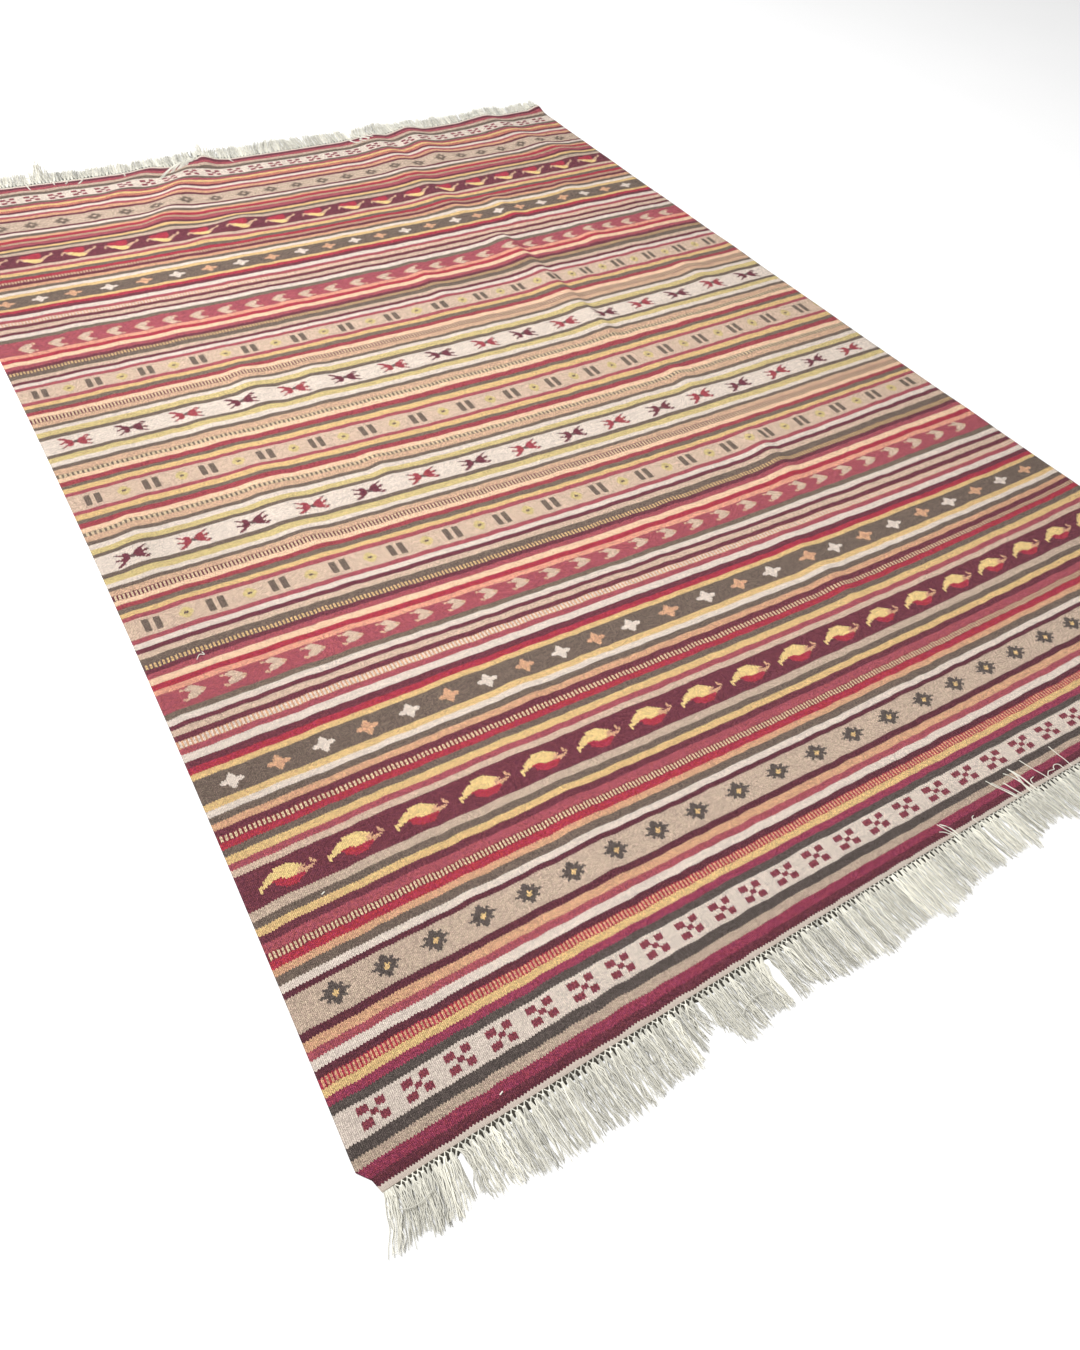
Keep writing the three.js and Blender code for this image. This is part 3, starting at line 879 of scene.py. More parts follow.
def chart_group(name):
    """A node group that says which letter of a chart is at a motif's number and at V from a band's middle.

    Each row of the chart is a binary number, a bit for each stitch, in one stop of a ramp. Red, green and
    blue hold the numbers of the first, second and third letter.
    """
    width, height, rows = CHARTS[name]
    columns = len(rows[0])
    letters = sorted(set("".join(rows)) - {"."})
    tree, given, _ = new_group(
        f"chart {name}", "ShaderNodeTree",
        dict.fromkeys(("Number", "V", "Pitch", "Turn"), "Float"), dict.fromkeys((*letters, "Odd"), "Float"),
    )
    index = maths(tree, "ROUND", given["Number"])
    local = maths(tree, "SUBTRACT", given["Number"], index)
    for factor in ("Pitch", "Turn"):
        local = maths(tree, "MULTIPLY", local, given[factor])
    column = maths(tree, "FLOOR", maths(tree, "MULTIPLY_ADD", local, 1 / width, columns / 2))
    share = maths(tree, "MULTIPLY_ADD", given["V"], -1 / (height * len(rows)), 0.5)
    # 1 inside the chart's rectangle and 0 outside it
    beside = maths(tree, "COMPARE", column, (columns - 1) / 2, columns / 2 - 0.1)
    inside = maths(tree, "MULTIPLY", beside, maths(tree, "COMPARE", share, 0.5, 0.499))
    stops = []
    for i, row in enumerate(rows):
        # Half a bit more keeps rounding from losing the last stitch
        numbers = [0.5 ** (columns + 1)] * 3
        for j, letter in enumerate(letters):
            numbers[j] += sum(0.5 ** (c + 1) for c, stitch in enumerate(row) if stitch == letter)
        stops.append((i / len(rows), numbers))
    numbers = add(tree, "ShaderNodeSeparateColor", {0: stepped_ramp(tree, share, stops)}).outputs
    scale = maths(tree, "POWER", 2, maths(tree, "ADD", column, 1))
    found = {}
    for number, letter in zip(numbers, letters):
        bit = maths(tree, "MODULO", maths(tree, "FLOOR", maths(tree, "MULTIPLY", number, scale)), 2)
        found[letter] = maths(tree, "MULTIPLY", bit, inside)
    odd = maths(tree, "MULTIPLY", maths(tree, "FRACT", maths(tree, "MULTIPLY", index, 0.5)), 2)
    add(tree, "NodeGroupOutput", {**found, "Odd": odd})
    return tree, letters


def lay_motifs(tree, yarns, colour, shake, along, far):
    """Lays the charted motifs over the stripes. shake moves them sideways, and far is 1 in the far half."""
    groups = {name: chart_group(name) for name in CHARTS}
    at_point = add(tree, "ShaderNodeAttribute", attribute_name="motif").outputs["Fac"]
    near = maths(tree, "SUBTRACT", 1, far)
    for chart_name, middle, pitch, near_places, far_places, turned, letter_yarns in MOTIFS:
        group, letters = groups[chart_name]
        number = maths(tree, "MULTIPLY_ADD", shake, 1 / pitch, at_point)
        turn = maths(tree, "MULTIPLY_ADD", far, -2 * turned, 1)
        from_middle = maths(tree, "SUBTRACT", along, middle)
        for places, inside in ((near_places, near), (far_places, far)):
            if not places:
                from_middle = maths(tree, "MULTIPLY_ADD", inside, OUT_OF_REACH, from_middle)
        inputs = {"Number": number, "V": from_middle, "Pitch": pitch, "Turn": turn}
        chart = add(tree, "ShaderNodeGroup", inputs, node_tree=group)
        for letter in letters:
            even, *odd = (dye(yarns, name) for name in letter_yarns[letter].split())
            over = mixed(tree, chart.outputs["Odd"], even, odd[0]) if odd else even
            colour = mixed(tree, chart.outputs[letter], colour, over)
    return colour


def lay_combs(tree, yarns, colour, across, along, rib):
    """Lays the second yarn of the pick-and-pick stripes: a bar over every other pair of warps."""
    for start, stop, name, ribs in COMBS:
        wave = maths(tree, "FRACT", maths(tree, "MULTIPLY", across, 1 / (ribs * rib)))
        bar = maths(tree, "GREATER_THAN", wave, COMB_GAP)
        # The bars stop short of the stripe's edges, where its own yarn closes them, and break in the middle
        middle = (start + stop) / 2
        within = maths(tree, "COMPARE", along, middle, (stop - start) / 2 - COMB_MARGIN)
        broken = maths(tree, "COMPARE", along, middle, COMB_BREAK)
        shown = maths(tree, "MULTIPLY", maths(tree, "SUBTRACT", within, broken), bar)
        colour = mixed(tree, shown, colour, dye(yarns, name))
    return colour


def wool_weave_material(settings):
    """Hand-spun wool, woven weft-faced: matt, with a soft sheen at a low angle, heathered stitch by stitch,
    and ribbed along the rug where the wefts cover the warps.
    """
    yarns = settings.yarns
    heather = settings.weave.heather
    rib = settings.weave.rib / MM
    pick = settings.weave.pick / MM
    material, tree = new_material("hand-spun wool, weft-faced weave")
    uv = add(tree, "ShaderNodeUVMap", uv_map="weave")
    axes = add(tree, "ShaderNodeSeparateXYZ", {0: uv}).outputs
    u = maths(tree, "MULTIPLY", axes["X"], 1 / MM)
    v = maths(tree, "MULTIPLY", axes["Y"], 1 / MM)
    rib_number = maths(tree, "MULTIPLY", u, 1 / rib)

    # The wefts were not beaten quite straight, so the stripes wander by a few millimetres
    wander = maths(tree, "MULTIPLY_ADD", woven_noise(tree, uv, WANDER_GRAINS, 1, 0.6), 2 * WANDER, -WANDER)
    # Odd and even warps are covered by different wefts, so every colour change is a row of small teeth
    tooth = maths(tree, "SMOOTH_MIN", maths(tree, "PINGPONG", rib_number, 1), 0.75, 0.1)
    tooth = maths(tree, "MULTIPLY_ADD", tooth, TOOTH_LENGTH, TOOTH_START)
    along = maths(tree, "ADD", v, maths(tree, "ADD", wander, tooth))

    # Both halves are read from their own end towards the middle
    from_middle = maths(tree, "SUBTRACT", along, MIDDLE)
    far = maths(tree, "GREATER_THAN", from_middle, 0)
    half_way = maths(tree, "SUBTRACT", MIDDLE, maths(tree, "ABSOLUTE", from_middle))
    colour = stripe_colours(tree, yarns, half_way)
    for start, stop, name in DARK_LOTS:
        within = maths(tree, "COMPARE", along, (start + stop) / 2, (stop - start) / 2)
        colour = mixed(tree, within, colour, dye(yarns, name))
    colour = lay_combs(tree, yarns, colour, u, half_way, rib)
    shake = woven_noise(tree, uv, SHAKE_GRAINS, 0)
    shake = maths(tree, "MULTIPLY_ADD", shake, 2 * MOTIF_SHAKE, -MOTIF_SHAKE)
    colour = lay_motifs(tree, yarns, colour, shake, half_way, far)

    # A stitch is one weft over one warp, and neighbours lie half a pick apart
    rib_whole = maths(tree, "FLOOR", rib_number)
    step = maths(tree, "MULTIPLY", rib_whole, 0.5)
    pick_number = maths(tree, "MULTIPLY_ADD", v, 1 / pick, step)
    stitch = add(tree, "ShaderNodeCombineXYZ", {0: rib_whole, 1: maths(tree, "FLOOR", pick_number)})
    fleck = add(tree, "ShaderNodeTexWhiteNoise", {"Vector": stitch}, noise_dimensions="2D").outputs
    # Uneven spinning shows as flecks a few millimetres long, drawn coarse enough to show from 2 m away
    slub = woven_noise(tree, uv, SLUB_GRAINS, 2, 0.8)
    stray = maths(tree, "ADD", fleck["Value"], maths(tree, "MULTIPLY_ADD", slub, SLUB_CONTRAST, SLUB_START))
    # Pale yarns show less of it than dark ones
    lightness = add(tree, "ShaderNodeRGBToBW", {0: colour})
    share = ranged(tree, lightness, 0, PALE, heather, heather * HEATHER_ON_PALE)
    value = maths(tree, "MULTIPLY_ADD", stray, share, WOOL_VALUE)
    # The dye took unevenly from hank to hank
    value = maths(tree, "MULTIPLY_ADD", woven_noise(tree, uv, HANK_GRAINS, 1), HANK_CONTRAST, value)
    value = maths(tree, "MAXIMUM", value, DARKEST_VALUE)
    # Little light gets down between two ribs
    rib_wave = maths(tree, "PINGPONG", rib_number, 0.5)
    value = maths(tree, "MULTIPLY", value, maths(tree, "MULTIPLY_ADD", rib_wave, RIB_CONTRAST, GROOVE_VALUE))
    # Painted shade: the sides and the ends are painted a little darker
    for axis, edge, unshaded_at, shade in EDGE_PAINTED_SHADE:
        edge_shade = ranged(tree, (u, v)[axis], edge, unshaded_at, shade, 1, "SMOOTHSTEP")
        value = maths(tree, "MULTIPLY", value, edge_shade)
    hue = ranged(tree, fleck["Color"], 0, 1, 0.5 - HUE_STRAY, 0.5 + HUE_STRAY)
    colour = add(tree, "ShaderNodeHueSaturation", {"Hue": hue, "Value": value, "Color": colour})
    # The plain end strips, which are clean
    colour = mixed(tree, maths(tree, "LESS_THAN", half_way, 0), colour, dye(yarns, "ivory"))

    # Relief: round ribs, and a groove between stitches
    relief = maths(tree, "MULTIPLY_ADD", maths(tree, "PINGPONG", pick_number, 0.5), 0.6, rib_wave)
    relief = maths(tree, "MULTIPLY_ADD", slub, 0.8, relief)
    bump = add(tree, "ShaderNodeBump", {"Strength": 0.7, "Distance": 0.0011, "Height": relief})
    surface(tree, colour, 0.92, 0.1, {"Sheen Weight": 0.04, "Sheen Roughness": 0.5, "Normal": bump})
    return material


def cotton_material(settings):
    """Undyed twisted cotton: a warm white, matt and softly lit at its edges, each strand of its own tone,
    with painted shade on the strands low in the pile and on lifted threads, greyer where it has been walked
    on.
    """
    name = "undyed twisted cotton"
    if name in bpy.data.materials:
        return bpy.data.materials[name]
    material, tree = new_material(name)
    shade = add(tree, "ShaderNodeAttribute", attribute_name="shade").outputs["Fac"]
    # The shade attribute holds each piece's own tone, and painted shade on the strands low in the pile and
    # on the threads lifted over the fringe
    value = maths(tree, "MULTIPLY_ADD", shade, 0.6, 0.39)
    value = maths(tree, "MULTIPLY_ADD", grain_noise(tree, SOIL_GRAINS, 3), 0.24, value)
    cotton = dye(settings.yarns, "cotton")
    colour = add(tree, "ShaderNodeHueSaturation", {"Value": value, "Color": cotton})
    ply = grain_noise(tree, PLY_GRAINS, 2)
    bump = add(tree, "ShaderNodeBump", {"Strength": 0.5, "Distance": 0.0004, "Height": ply})
    surface(tree, colour, 0.85, 0.25, {"Sheen Weight": 0.15, "Sheen Roughness": 0.5, "Normal": bump})
    return material


def painted_hole_shade_material():
    """Painted shade: a dark sheet under the knots, seen only as small dark holes where no light reaches."""
    material, tree = new_material("painted shade under the knots")
    dark, less_dark = ((*linear(shade), 1) for shade in PAINTED_HOLE_SHADES)
    surface(tree, mixed(tree, grain_noise(tree, 400, 2), dark, less_dark), 0.95, 0.1)
    return material


def floor_material(settings):
    """Matt white paint on a plain floor: even, with the faintest mottling."""
    material, tree = new_material("matt painted floor")
    value = maths(tree, "MULTIPLY_ADD", grain_noise(tree, 3, 2), 0.02, 0.99)
    paint = dye(settings.stage, "floor_colour")
    surface(tree, add(tree, "ShaderNodeHueSaturation", {"Value": value, "Color": paint}), 0.9, 0.1)
    return material


# Geometry Nodes


def chance(tree, low, high, seed):
    """A random number between low and high."""
    inputs = {2: low, 3: high, "Seed": seed}
    return add(tree, "FunctionNodeRandomValue", inputs, data_type="FLOAT").outputs[1]


def stored(tree, geometry, name, value, kind="FLOAT"):
    """The geometry with a value stored under a name at each point."""
    inputs = {"Geometry": geometry, "Name": name, "Value": value}
    return add(tree, "GeometryNodeStoreNamedAttribute", inputs, data_type=kind, domain="POINT")


def straight(tree, start, end, points):
    """A straight curve with this many points."""
    line = add(tree, "GeometryNodeCurvePrimitiveLine", {"Start": start, "End": end})
    return add(tree, "GeometryNodeResampleCurve", {"Curve": line, "Count": points})


def clad(tree, geometry, material, output):
    """Ends a group: what it made is real geometry of this material."""
    real = add(tree, "GeometryNodeRealizeInstances", {"Geometry": geometry})
    made = add(tree, "GeometryNodeSetMaterial", {"Geometry": real, "Material": material})
    add(tree, "NodeGroupOutput", {output: made})


def strand_tree():
    """Geometry Nodes for the strands: each point given is a root, and its attributes say how it lies."""
    tree, given, identifiers = new_group(
        "cotton strands", "GeometryNodeTree",
        {"Roots": "Geometry", "Radius": "Float", "Steps": "Int", "Sides": "Int", "Waver": "Float",
         "Seed": "Int", "Material": "Material"},
        {"Strands": "Geometry"},
    )

    # A waver of its own for each strand
    roots = given["Roots"]
    wavers = (("phase", 0, 2 * math.pi), ("waver", -1, 1), ("turns", 8, 20))
    for offset, (name, low, high) in enumerate(wavers):
        seed = maths(tree, "ADD", given["Seed"], offset)
        roots = stored(tree, roots, name, chance(tree, low, high, seed))
    roots = stored(tree, roots, "root", add(tree, "GeometryNodeInputPosition"), "FLOAT_VECTOR")
    line = straight(tree, (0, 0, 0), (0, 0, 0.001), given["Steps"])
    strands = add(tree, "GeometryNodeInstanceOnPoints", {"Points": roots, "Instance": line})
    strands = add(tree, "GeometryNodeRealizeInstances", {"Geometry": strands})

    def named(name, kind="FLOAT"):
        return add(tree, "GeometryNodeInputNamedAttribute", {"Name": name}, data_type=kind).outputs[0]

    share = add(tree, "GeometryNodeSplineParameter").outputs["Factor"]
    squared = maths(tree, "MULTIPLY", share, share)
    root = add(tree, "ShaderNodeSeparateXYZ", {0: named("root", "FLOAT_VECTOR")}).outputs

    # Sideways: the fan below the knot, the swing of the tip, the slit of a parting and the waver
    fan = ranged(tree, share, 0.04, 0.19, kind="SMOOTHSTEP")
    early = maths(tree, "MULTIPLY", maths(tree, "POWER", share, 0.7), math.pi)
    bend = maths(tree, "SINE", maths(tree, "MULTIPLY_ADD", share, named("turns"), named("phase")))
    bend = maths(tree, "MULTIPLY", bend, fan)
    waver = maths(tree, "MULTIPLY", named("waver"), given["Waver"])
    sideways = root[0]
    for shape, size in (
        (fan, named("fan")),
        (squared, named("swing")),
        (maths(tree, "SINE", early), named("slit")),
        (bend, waver),
    ):
        sideways = maths(tree, "MULTIPLY_ADD", shape, size, sideways)

    # Outward, and down from the knot to its place in the pile
    outward = maths(tree, "MULTIPLY_ADD", share, named("reach"), root[1])
    fallen = ranged(tree, share, 0, named("fall"), kind="SMOOTHSTEP")
    lowered = ranged(tree, fallen, 0, 1, root[2], named("pile"))
    height = maths(tree, "MULTIPLY_ADD", squared, named("rise"), lowered)
    height = maths(tree, "MAXIMUM", height, given["Radius"])
    spot = add(tree, "ShaderNodeCombineXYZ", {0: sideways, 1: outward, 2: height})
    strands = add(tree, "GeometryNodeSetPosition", {"Geometry": strands, "Position": spot})
    section = add(
        tree, "GeometryNodeCurvePrimitiveCircle", {"Resolution": given["Sides"], "Radius": given["Radius"]}
    )
    tubes = add(
        tree, "GeometryNodeCurveToMesh",
        {"Curve": strands, "Profile Curve": section, "Scale": ranged(tree, share, 0, 1, 1, STRAND_TAPER),
         "Fill Caps": True},
    )
    clad(tree, tubes, given["Material"], "Strands")
    return tree, identifiers


def knot_tree():
    """Geometry Nodes for the heading: two slanting legs and a knot on each point of the input."""
    tree, given, identifiers = new_group(
        "knotted heading", "GeometryNodeTree",
        {"Places": "Geometry", "Leg Length": "Float", "Leg Spread": "Float", "Leg Radius": "Float",
         "Knot Size": "Vector", "Turn": "Float", "Seed": "Int", "Material": "Material"},
        {"Knots": "Geometry"},
    )
    radius = given["Leg Radius"]
    section = add(tree, "GeometryNodeCurvePrimitiveCircle", {"Resolution": 6, "Radius": radius})
    joined = add(tree, "GeometryNodeJoinGeometry")
    for side in (-1, 1):
        ends = []
        for spread, reach in ((side, given["Leg Length"]), (side * 0.2, 0)):
            x = maths(tree, "MULTIPLY", given["Leg Spread"], spread)
            ends.append(add(tree, "ShaderNodeCombineXYZ", {0: x, 1: reach, 2: radius}))
        inputs = {"Curve": straight(tree, *ends, 3), "Profile Curve": section, "Fill Caps": True}
        leg = add(tree, "GeometryNodeCurveToMesh", inputs)
        tree.links.new(leg.outputs[0], joined.inputs[0])
    ball = add(tree, "GeometryNodeMeshIcoSphere", {"Radius": 1, "Subdivisions": 2})
    lift = add(tree, "ShaderNodeCombineXYZ", {1: -0.0008, 2: radius})
    knot = add(
        tree, "GeometryNodeTransform", {"Geometry": ball, "Translation": lift, "Scale": given["Knot Size"]}
    )
    tree.links.new(knot.outputs[0], joined.inputs[0])

    # No two knots are quite alike
    seed = given["Seed"]
    scale = add(
        tree, "FunctionNodeRandomValue", {0: (0.88, 0.88, 0.9), 1: (1.12, 1.1, 1.25), "Seed": seed},
        data_type="FLOAT_VECTOR",
    )
    turn = maths(tree, "ADD", chance(tree, -0.2, 0.2, seed), given["Turn"])
    places = stored(tree, given["Places"], "shade", chance(tree, 0.3, 1, seed))
    rotation = add(tree, "ShaderNodeCombineXYZ", {2: turn})
    knots = add(
        tree, "GeometryNodeInstanceOnPoints",
        {"Points": places, "Instance": joined, "Rotation": rotation, "Scale": scale},
    )
    clad(tree, knots, given["Material"], "Knots")
    return tree, identifiers


def grow(piece, group, values):
    """Runs Geometry Nodes on a piece, and turns what they make into its own plain mesh."""
    tree, identifiers = group
    modifier = piece.modifiers.new(tree.name, "NODES")
    modifier.node_group = tree
    for name, value in values.items():
        modifier[identifiers[name]] = value
    evaluated = piece.evaluated_get(bpy.context.evaluated_depsgraph_get())
    mesh = bpy.data.meshes.new_from_object(evaluated)
    piece.modifiers.remove(modifier)
    piece.data = mesh


# Pieces


class KILIM_OT_weave_cloth(bpy.types.Operator):
    """Weaves the cloth: one thin closed sheet over the folds, with its pattern on the weave's own UV map"""

    bl_idname = "kilim.weave_cloth"
    bl_label = "Weave the cloth"

    def execute(self, context):
        settings = context.scene.kilim
        weave = settings.weave
        us, vs = np.meshgrid(
            np.linspace(0, CLOTH_WIDTH, weave.across + 1), np.linspace(NEAR_END, FAR_END, weave.along + 1)
        )
        lower = place(us, vs, height=ripple(us, vs) * weave.ripple)
        outward = np.zeros_like(lower)
        outward[:, 0, 0] = outward[0, :, 1] = -1
        outward[:, -1, 0] = outward[-1, :, 1] = 1
        lower = lower.reshape(-1, 3)
        upper = lower + (0, 0, weave.thickness)
        # The rim: half-way up, a little outside both layers, so that the edges are round
        grid = np.arange(us.size).reshape(us.shape)
        rim = np.concatenate([grid[0], grid[1:, -1], grid[-1, -2::-1], grid[-2:0:-1, 0]])
        bulge = outward.reshape(-1, 3)[rim] * weave.thickness * RIM_BULGE
        points = np.concatenate([lower, upper, (lower[rim] + upper[rim]) / 2 + bulge])
        quads = np.stack([grid[:-1, :-1], grid[:-1, 1:], grid[1:, 1:], grid[1:, :-1]], axis=-1)
        quads = quads.reshape(-1, 4)
        edge = 2 * us.size + np.arange(len(rim))
        rim_after, edge_after = np.roll(rim, -1), np.roll(edge, -1)
        faces = np.concatenate([
            quads[:, ::-1],
            quads + us.size,
            np.stack([rim, rim_after, edge_after, edge], axis=-1),
            np.stack([edge, edge_after, rim_after + us.size, rim + us.size], axis=-1),
        ])
        piece = mesh_object("kilim_weave", points, faces.tolist(), wool_weave_material(settings))
        pattern = pattern_along(us, vs)
        above = np.concatenate([grid.ravel(), grid.ravel(), rim])
        flat = np.stack([us.ravel(), pattern.ravel()], axis=-1)[above] * MM
        corners = np.empty(len(piece.data.loops), int)
        piece.data.loops.foreach_get("vertex_index", corners)
        layer = piece.data.uv_layers.new(name="weave")
        layer.data.foreach_set("uv", flat[corners].ravel())
        give(piece, "motif", motif_numbers(us, pattern).ravel()[above])
        finish_piece(piece, "woven_wool", "kilim_cloth")
        return {"FINISHED"}


def strand_roots(end, fringe):
    """Where one end's strands leave their knots, and how each of them lies."""
    pitch = fringe.knot_pitch / MM
    knots = int(CLOTH_WIDTH / pitch)
    per_knot = fringe.strands
    rng = np.random.default_rng(end["seed"])
    knot = np.repeat(np.arange(knots), per_knot)
    aside = (np.tile(np.arange(per_knot), knots) - (per_knot - 1) / 2) / per_knot
    u = (knot + 0.5) * pitch
    u += aside * np.where(u < end["bare"], KNOT_FAN, rng.uniform(2.5, 7.5, knots)[knot])
    count = len(u)
    # The strands of the right half lie back over the knots
    start = np.where(u < end["bare"], BARE_START, np.interp(u, *zip(*STRAND_START))) * HEADING_WIDTH
    roots = past_end(end, u, start, ROOT_LIFT)
    lift_off = roots[:, 2] - ROOT_LIFT * MM
    roots[:, 2] += rng.uniform(-0.6, 1.0, count) * MM

    # Strands gather into locks, one to three knots wide, whose tips lean together
    edges = np.cumsum(rng.uniform(1.2, 3.4, knots) * pitch)
    lock = np.searchsorted(edges, u)
    locks = lock.max() + 1
    middles = np.array([u[lock == i].mean() if np.any(lock == i) else 0 for i in range(locks)])
    gather = rng.uniform(0.05, 0.3, locks)[lock]
    lock_lean = rng.normal(0, 1.5, locks)[lock]
    lock_length = rng.normal(0, 3.5, locks)[lock]
    swing = np.interp(u, *zip(*end["leans"])) + lock_lean + (middles[lock] - u) * gather
    swing += rng.normal(0, 2.6, count)
    tips = np.interp(u, *zip(*end["tips"]))
    reach = tips - TIP_INSET + lock_length + rng.normal(0, 3.5, count) - start
    slit = np.zeros(count)
    for at, opening, spread in end["partings"]:
        away = u - at
        side = np.where(away < 0, -1, 1)
        slit += side * opening * np.exp(-np.abs(away) / SLIT_REACH)
        swing += side * spread * np.exp(-np.abs(away) / SPREAD_REACH)
    rise = np.abs(rng.normal(0, 0.9, count))
    for at, width, lift in end["tufts"]:
        share = ease(1 - np.abs(u - at) / width)
        rise += lift * share * rng.uniform(0.45, 1, count)
        swing += (at - u) * 0.5 * share
    heap = rng.uniform(0, 1, count)
    pile = PILE_LOW + heap * (end["pile"] * fringe.pile - PILE_LOW)
    return roots, {
        "fan": aside * KNOT_FAN * MM,
        "swing": swing * MM,
        "slit": slit * MM,
        "reach": end["outward"] * reach * MM,
        "rise": np.minimum(rise, TUFT_TOP - pile) * MM,
        "pile": pile * MM,
        "fall": np.clip(FALL_SHARE + lift_off / (FALL_SLOPE * MM), FALL_SHARE, 0.8),
        # Painted shade: strands lower in the pile are painted darker, and each strand and each knot also
        # gets a tone of its own
        "shade": 0.2 * rng.uniform(0, 1, count) + 0.8 * heap + rng.normal(0, 0.22, knots)[knot],
    }


class KILIM_OT_lay_fringes(bpy.types.Operator):
    """Lays the cotton strands of both fringes on the floor, by Geometry Nodes"""

    bl_idname = "kilim.lay_fringes"
    bl_label = "Lay the fringes"

    def execute(self, context):
        settings = context.scene.kilim
        fringe = settings.fringe
        group = strand_tree()
        for end in (NEAR_FRINGE, FAR_FRINGE):
            roots, values = strand_roots(end, fringe)
            piece = mesh_object(f"cotton_fringe_{end['end']}", roots, [])
            for name, numbers in values.items():
                give(piece, name, numbers)
            grow(piece, group, {
                "Radius": fringe.strand_radius,
                "Steps": fringe.steps,
                "Sides": fringe.sides,
                "Waver": STRAND_WAVER,
                "Seed": end["seed"],
                "Material": cotton_material(settings),
            })
            finish_piece(piece, "cotton_fringe", f"fringe_{end['end']}")
        return {"FINISHED"}


def shade_strip(end):
    """Points and faces of a thin strip under the knots, whose upward faces are painted dark as the shade in
    the holes between them, and which faces look up.
    """
    u = np.linspace(end["bare"], CLOTH_WIDTH, 401)
    rng = np.random.default_rng(end["seed"])
    middle = HEADING_WIDTH * 0.4
    outer = HEADING_WIDTH * 0.72 + rng.uniform(0, STRIP_STRAY, len(u))
    # Six rails: up at the cloth, out over the top, down at the outer edge and back below
    rails = ((0, 0), (0, 1), (middle, 1), (outer, 1), (outer, 0), (middle, 0))
    points = np.concatenate([past_end(end, u, offset, lift) for offset, lift in rails])
    first = [k * len(u) for k in range(len(rails))]
    faces = []
    upward = []
    for k, rail in enumerate(first):
        across = first[(k + 1) % len(rails)] - rail
        for a in range(rail, rail + len(u) - 1):
            faces.append((a, a + 1, a + 1 + across, a + across))
            upward.append(k in (1, 2))
    faces += [tuple(first), tuple(a + len(u) - 1 for a in first[::-1])]
    upward += [False, False]
    if end["outward"] < 0:
        faces = [face[::-1] for face in faces]
    return points, faces, upward


class KILIM_OT_knot_headings(bpy.types.Operator):
    """Knots both headings: pairs of warps drawn together in a knot every 10 mm"""

    bl_idname = "kilim.knot_headings"
    bl_label = "Knot the headings"

    def execute(self, context):
        settings = context.scene.kilim
        pitch = settings.fringe.knot_pitch / MM
        painted_hole_shade = painted_hole_shade_material()
        group = knot_tree()
        for end in (NEAR_FRINGE, FAR_FRINGE):
            u = (np.arange(int(CLOTH_WIDTH / pitch)) + 0.5) * pitch
            places = past_end(end, u[u > end["bare"]], HEADING_WIDTH * KNOT_PLACE, KNOT_LIFT)
            piece = mesh_object(f"knotted_heading_{end['end']}", places, [])
            grow(piece, group, {
                **KNOT,
                "Turn": 0.0 if end["outward"] < 0 else math.pi,
                "Seed": end["seed"],
                "Material": cotton_material(settings),
            })
            points, faces, upward = shade_strip(end)
            strip = mesh_object("strip", points, faces)
            # The knots' first material slot is empty, the second is cotton, and the painted shade comes
            # third, on the faces that look up
            strip.data.polygons.foreach_set("material_index", [1 + int(up) for up in upward])
            both = bmesh.new()
            both.from_mesh(piece.data)
            both.from_mesh(strip.data)
            both.to_mesh(piece.data)
            both.free()
            bpy.data.objects.remove(strip)
            piece.data.materials.append(painted_hole_shade)
            finish_piece(piece, "cotton_fringe", f"fringe_{end['end']}")
        return {"FINISHED"}


def smooth_path(path):
    """More points (u, v) along a smooth curve through the path's points."""
    path = np.array([path[0], *path, path[-1]], float)
    t = np.arange(0, 1, 0.2)[:, None]
    smooth = [
        0.5 * (2 * a + (b - before) * t + (2 * before - 5 * a + 4 * b - after) * t**2
               + (3 * a - before - 3 * b + after) * t**3)
        for before, a, b, after in zip(path, path[1:], path[2:], path[3:])
    ]
    return np.concatenate([*smooth, path[-1:]])


def tube(route, radius, sides=6):
    """Points and faces of a closed round tube along the given points."""
    along = np.gradient(route, axis=0)
    along /= np.linalg.norm(along, axis=1, keepdims=True)
    side = np.cross((0, 0, 1), along)
    side /= np.linalg.norm(side, axis=1, keepdims=True)
    up = np.cross(along, side)
    angle = np.linspace(0, 2 * math.pi, sides, endpoint=False)[:, None]
    points = route[:, None] + radius * (np.cos(angle) * side[:, None] + np.sin(angle) * up[:, None])
    ring = np.arange(sides)
    start = np.arange(len(route) - 1)[:, None] * sides
    a, b = start + ring, start + np.roll(ring, -1)
    faces = np.stack([a, b, b + sides, a + sides], axis=-1).reshape(-1, 4)
    last = (len(route) - 1) * sides
    return points.reshape(-1, 3), [*faces, ring[::-1], ring + last]


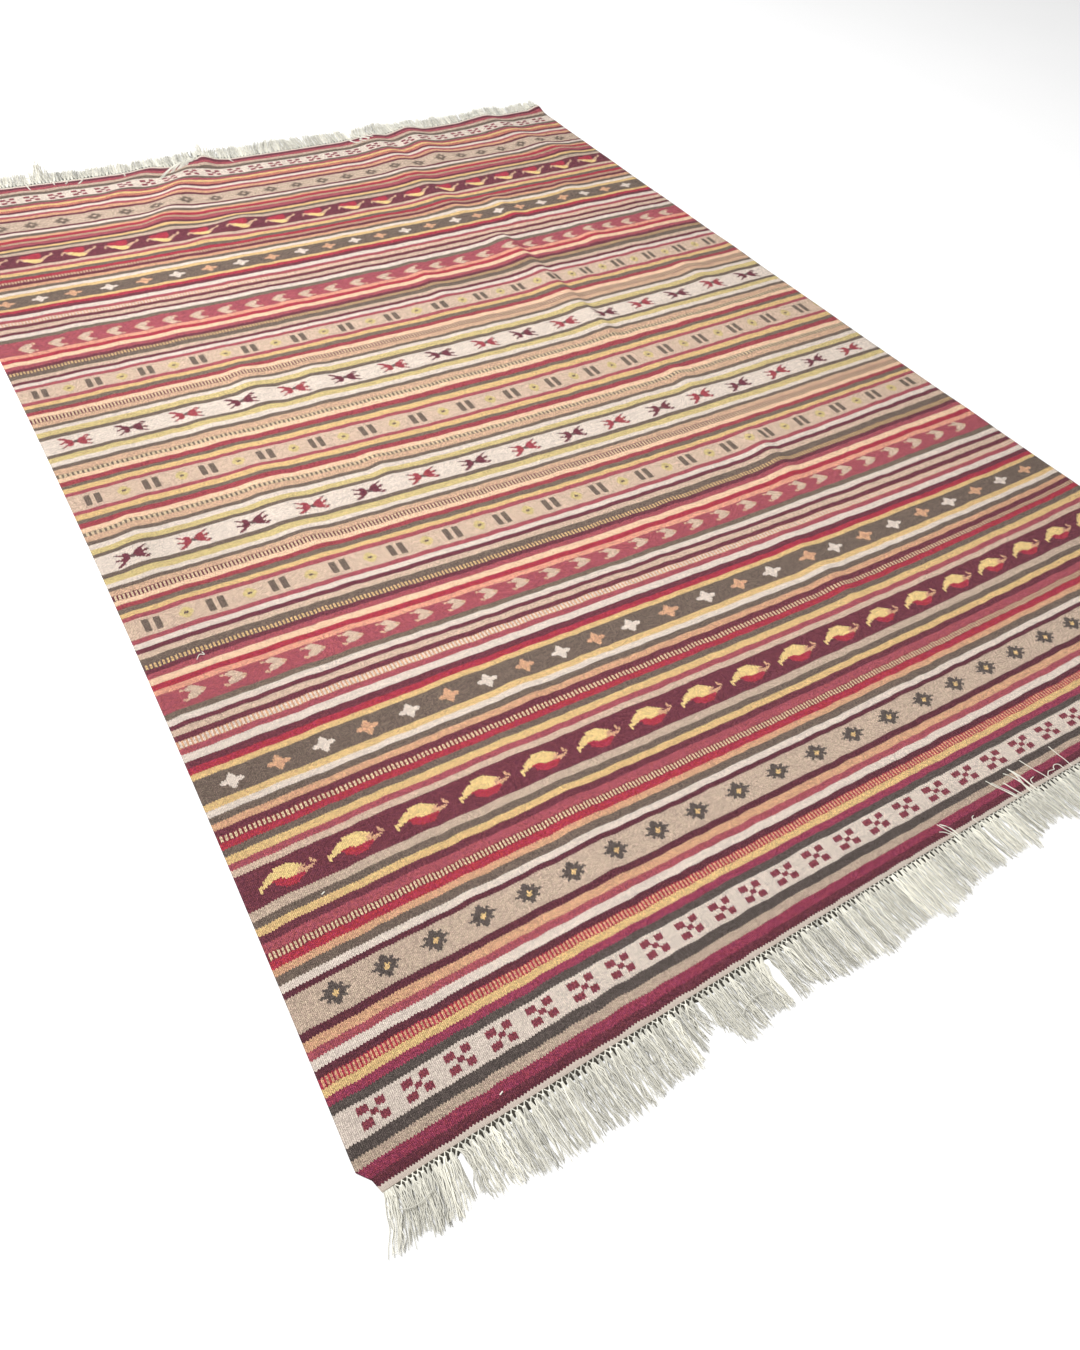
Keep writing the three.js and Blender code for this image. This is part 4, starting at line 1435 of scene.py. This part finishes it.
class KILIM_OT_drop_threads(bpy.types.Operator):
    """Drops the loose ends of cotton on the cloth and across the near fringe, and two flecks"""

    bl_idname = "kilim.drop_threads"
    bl_label = "Drop the loose threads"

    def execute(self, context):
        settings = context.scene.kilim
        thickness = settings.weave.thickness
        tubes = []
        for side_by_side, lift, path in LOOSE_THREADS:
            u, v = smooth_path(path).T
            rise = ripple(u, v) * settings.weave.ripple
            for k in range(side_by_side):
                route = place(
                    u + (k - (side_by_side - 1) / 2) * THREAD_STEP, v - THREAD_STAGGER * (k % 2),
                    lift=lift + THREAD_RADIUS, height=rise + thickness,
                )
                # Painted shade: a thread lifted over the fringe is painted darker, for its shadow; threads
                # side by side differ in tone
                tubes.append((route, THREAD_RADIUS, 0.4 if lift else 0.9 - 0.12 * (k % 3)))
        # A fleck is a short slub of cotton
        half_length, half_width = (size / 2 for size in FLECK_SIZE)
        for across, along in FLECKS:
            t = np.linspace(-1, 1, 5)
            route = place(across + t * half_length, along + t * half_width, lift=0.4, height=thickness)
            tubes.append((route, half_width, 1.0))
        points = []
        faces = []
        shades = []
        for route, radius, shade in tubes:
            tube_points, tube_faces = tube(route, radius * MM)
            faces.extend((len(points) + face).tolist() for face in tube_faces)
            points.extend(tube_points)
            shades.extend([shade] * len(tube_points))
        piece = mesh_object("loose_threads", points, faces, cotton_material(settings))
        give(piece, "shade", shades)
        finish_piece(piece, "cotton_fringe")
        return {"FINISHED"}


class KILIM_OT_declare_cloth(bpy.types.Operator):
    """Takes no step: it only returns as finished"""

    bl_idname = "kilim.declare_cloth"
    bl_label = "Declare the cloth"

    def execute(self, context):
        return {"FINISHED"}


class KILIM_OT_set_stage(bpy.types.Operator):
    """Sets the pale floor, the soft light and the camera"""

    bl_idname = "kilim.set_stage"
    bl_label = "Set the stage"

    def execute(self, context):
        settings = context.scene.kilim
        scene = context.scene
        scene.view_settings.view_transform = "Standard"
        corners = [(x * FLOOR_HALF, y * FLOOR_HALF, 0) for x, y in ((-1, -1), (1, -1), (1, 1), (-1, 1))]
        floor = mesh_object("floor", corners, [(0, 1, 2, 3)], floor_material(settings))

        world = bpy.data.worlds.new("even room light")
        world.use_nodes = True
        background = world.node_tree.nodes["Background"].inputs
        background["Color"].default_value = (1, 1, 1, 1)
        background["Strength"].default_value = settings.stage.sky
        scene.world = world

        key = bpy.data.lights.new("soft key", "AREA")
        key.shape = "RECTANGLE"
        key.size, key.size_y = LAMP_SIZE
        key.energy = settings.stage.key
        lamp = set_out("soft key", key)
        lamp.location = LAMP_PLACE
        lamp.rotation_euler = (-lamp.location).to_track_quat("-Z", "Y").to_euler()

        lens = bpy.data.cameras.new("camera")
        lens.sensor_fit = "VERTICAL"
        lens.sensor_height = SENSOR_HEIGHT
        lens.lens = FOCAL_SHARE * SENSOR_HEIGHT
        lens.clip_end = 50
        scene.camera = set_out("camera", lens)
        shift_x, shift_y = frame_shift()
        x, y, z = (c * MM for c in CAMERA_PLACE)
        turn = Matrix.Rotation(math.radians(-CAMERA_AZIMUTH), 4, "Z")
        tilt = Matrix.Rotation(math.radians(90 - CAMERA_DOWN), 4, "X")
        roll = Matrix.Rotation(math.radians(CAMERA_ROLL), 4, "Z")
        scene.camera.matrix_world = Matrix.Translation((x + shift_x, y + shift_y, z)) @ turn @ tilt @ roll
        return {"FINISHED"}


STEPS = (
    KILIM_OT_set_stage,
    KILIM_OT_weave_cloth,
    KILIM_OT_knot_headings,
    KILIM_OT_lay_fringes,
    KILIM_OT_drop_threads,
    KILIM_OT_declare_cloth,
)


class KILIM_PT_panel(bpy.types.Panel):
    """Lists the steps, in order, and the settings"""

    bl_label = "Kilim"
    bl_idname = "KILIM_PT_panel"
    bl_space_type = "VIEW_3D"
    bl_region_type = "UI"
    bl_category = "Kilim"

    def draw(self, context):
        settings = context.scene.kilim
        for step in STEPS:
            self.layout.operator(step.bl_idname)
        for group in (settings.weave, settings.fringe, settings.stage, settings.yarns):
            box = self.layout.box()
            for name in group.bl_rna.properties.keys():
                if name not in ("rna_type", "name"):
                    box.prop(group, name)


CLASSES = (KilimYarns, KilimWeave, KilimFringe, KilimStage, KilimSettings, *STEPS, KILIM_PT_panel)


def register():
    for cls in CLASSES:
        bpy.utils.register_class(cls)
    bpy.types.Scene.kilim = bpy.props.PointerProperty(type=KilimSettings)


def unregister():
    del bpy.types.Scene.kilim
    for cls in reversed(CLASSES):
        bpy.utils.unregister_class(cls)


def main():
    register()
    for step in STEPS:
        group, name = step.bl_idname.split(".")
        getattr(getattr(bpy.ops, group), name)()


if __name__ == "__main__":
    main()
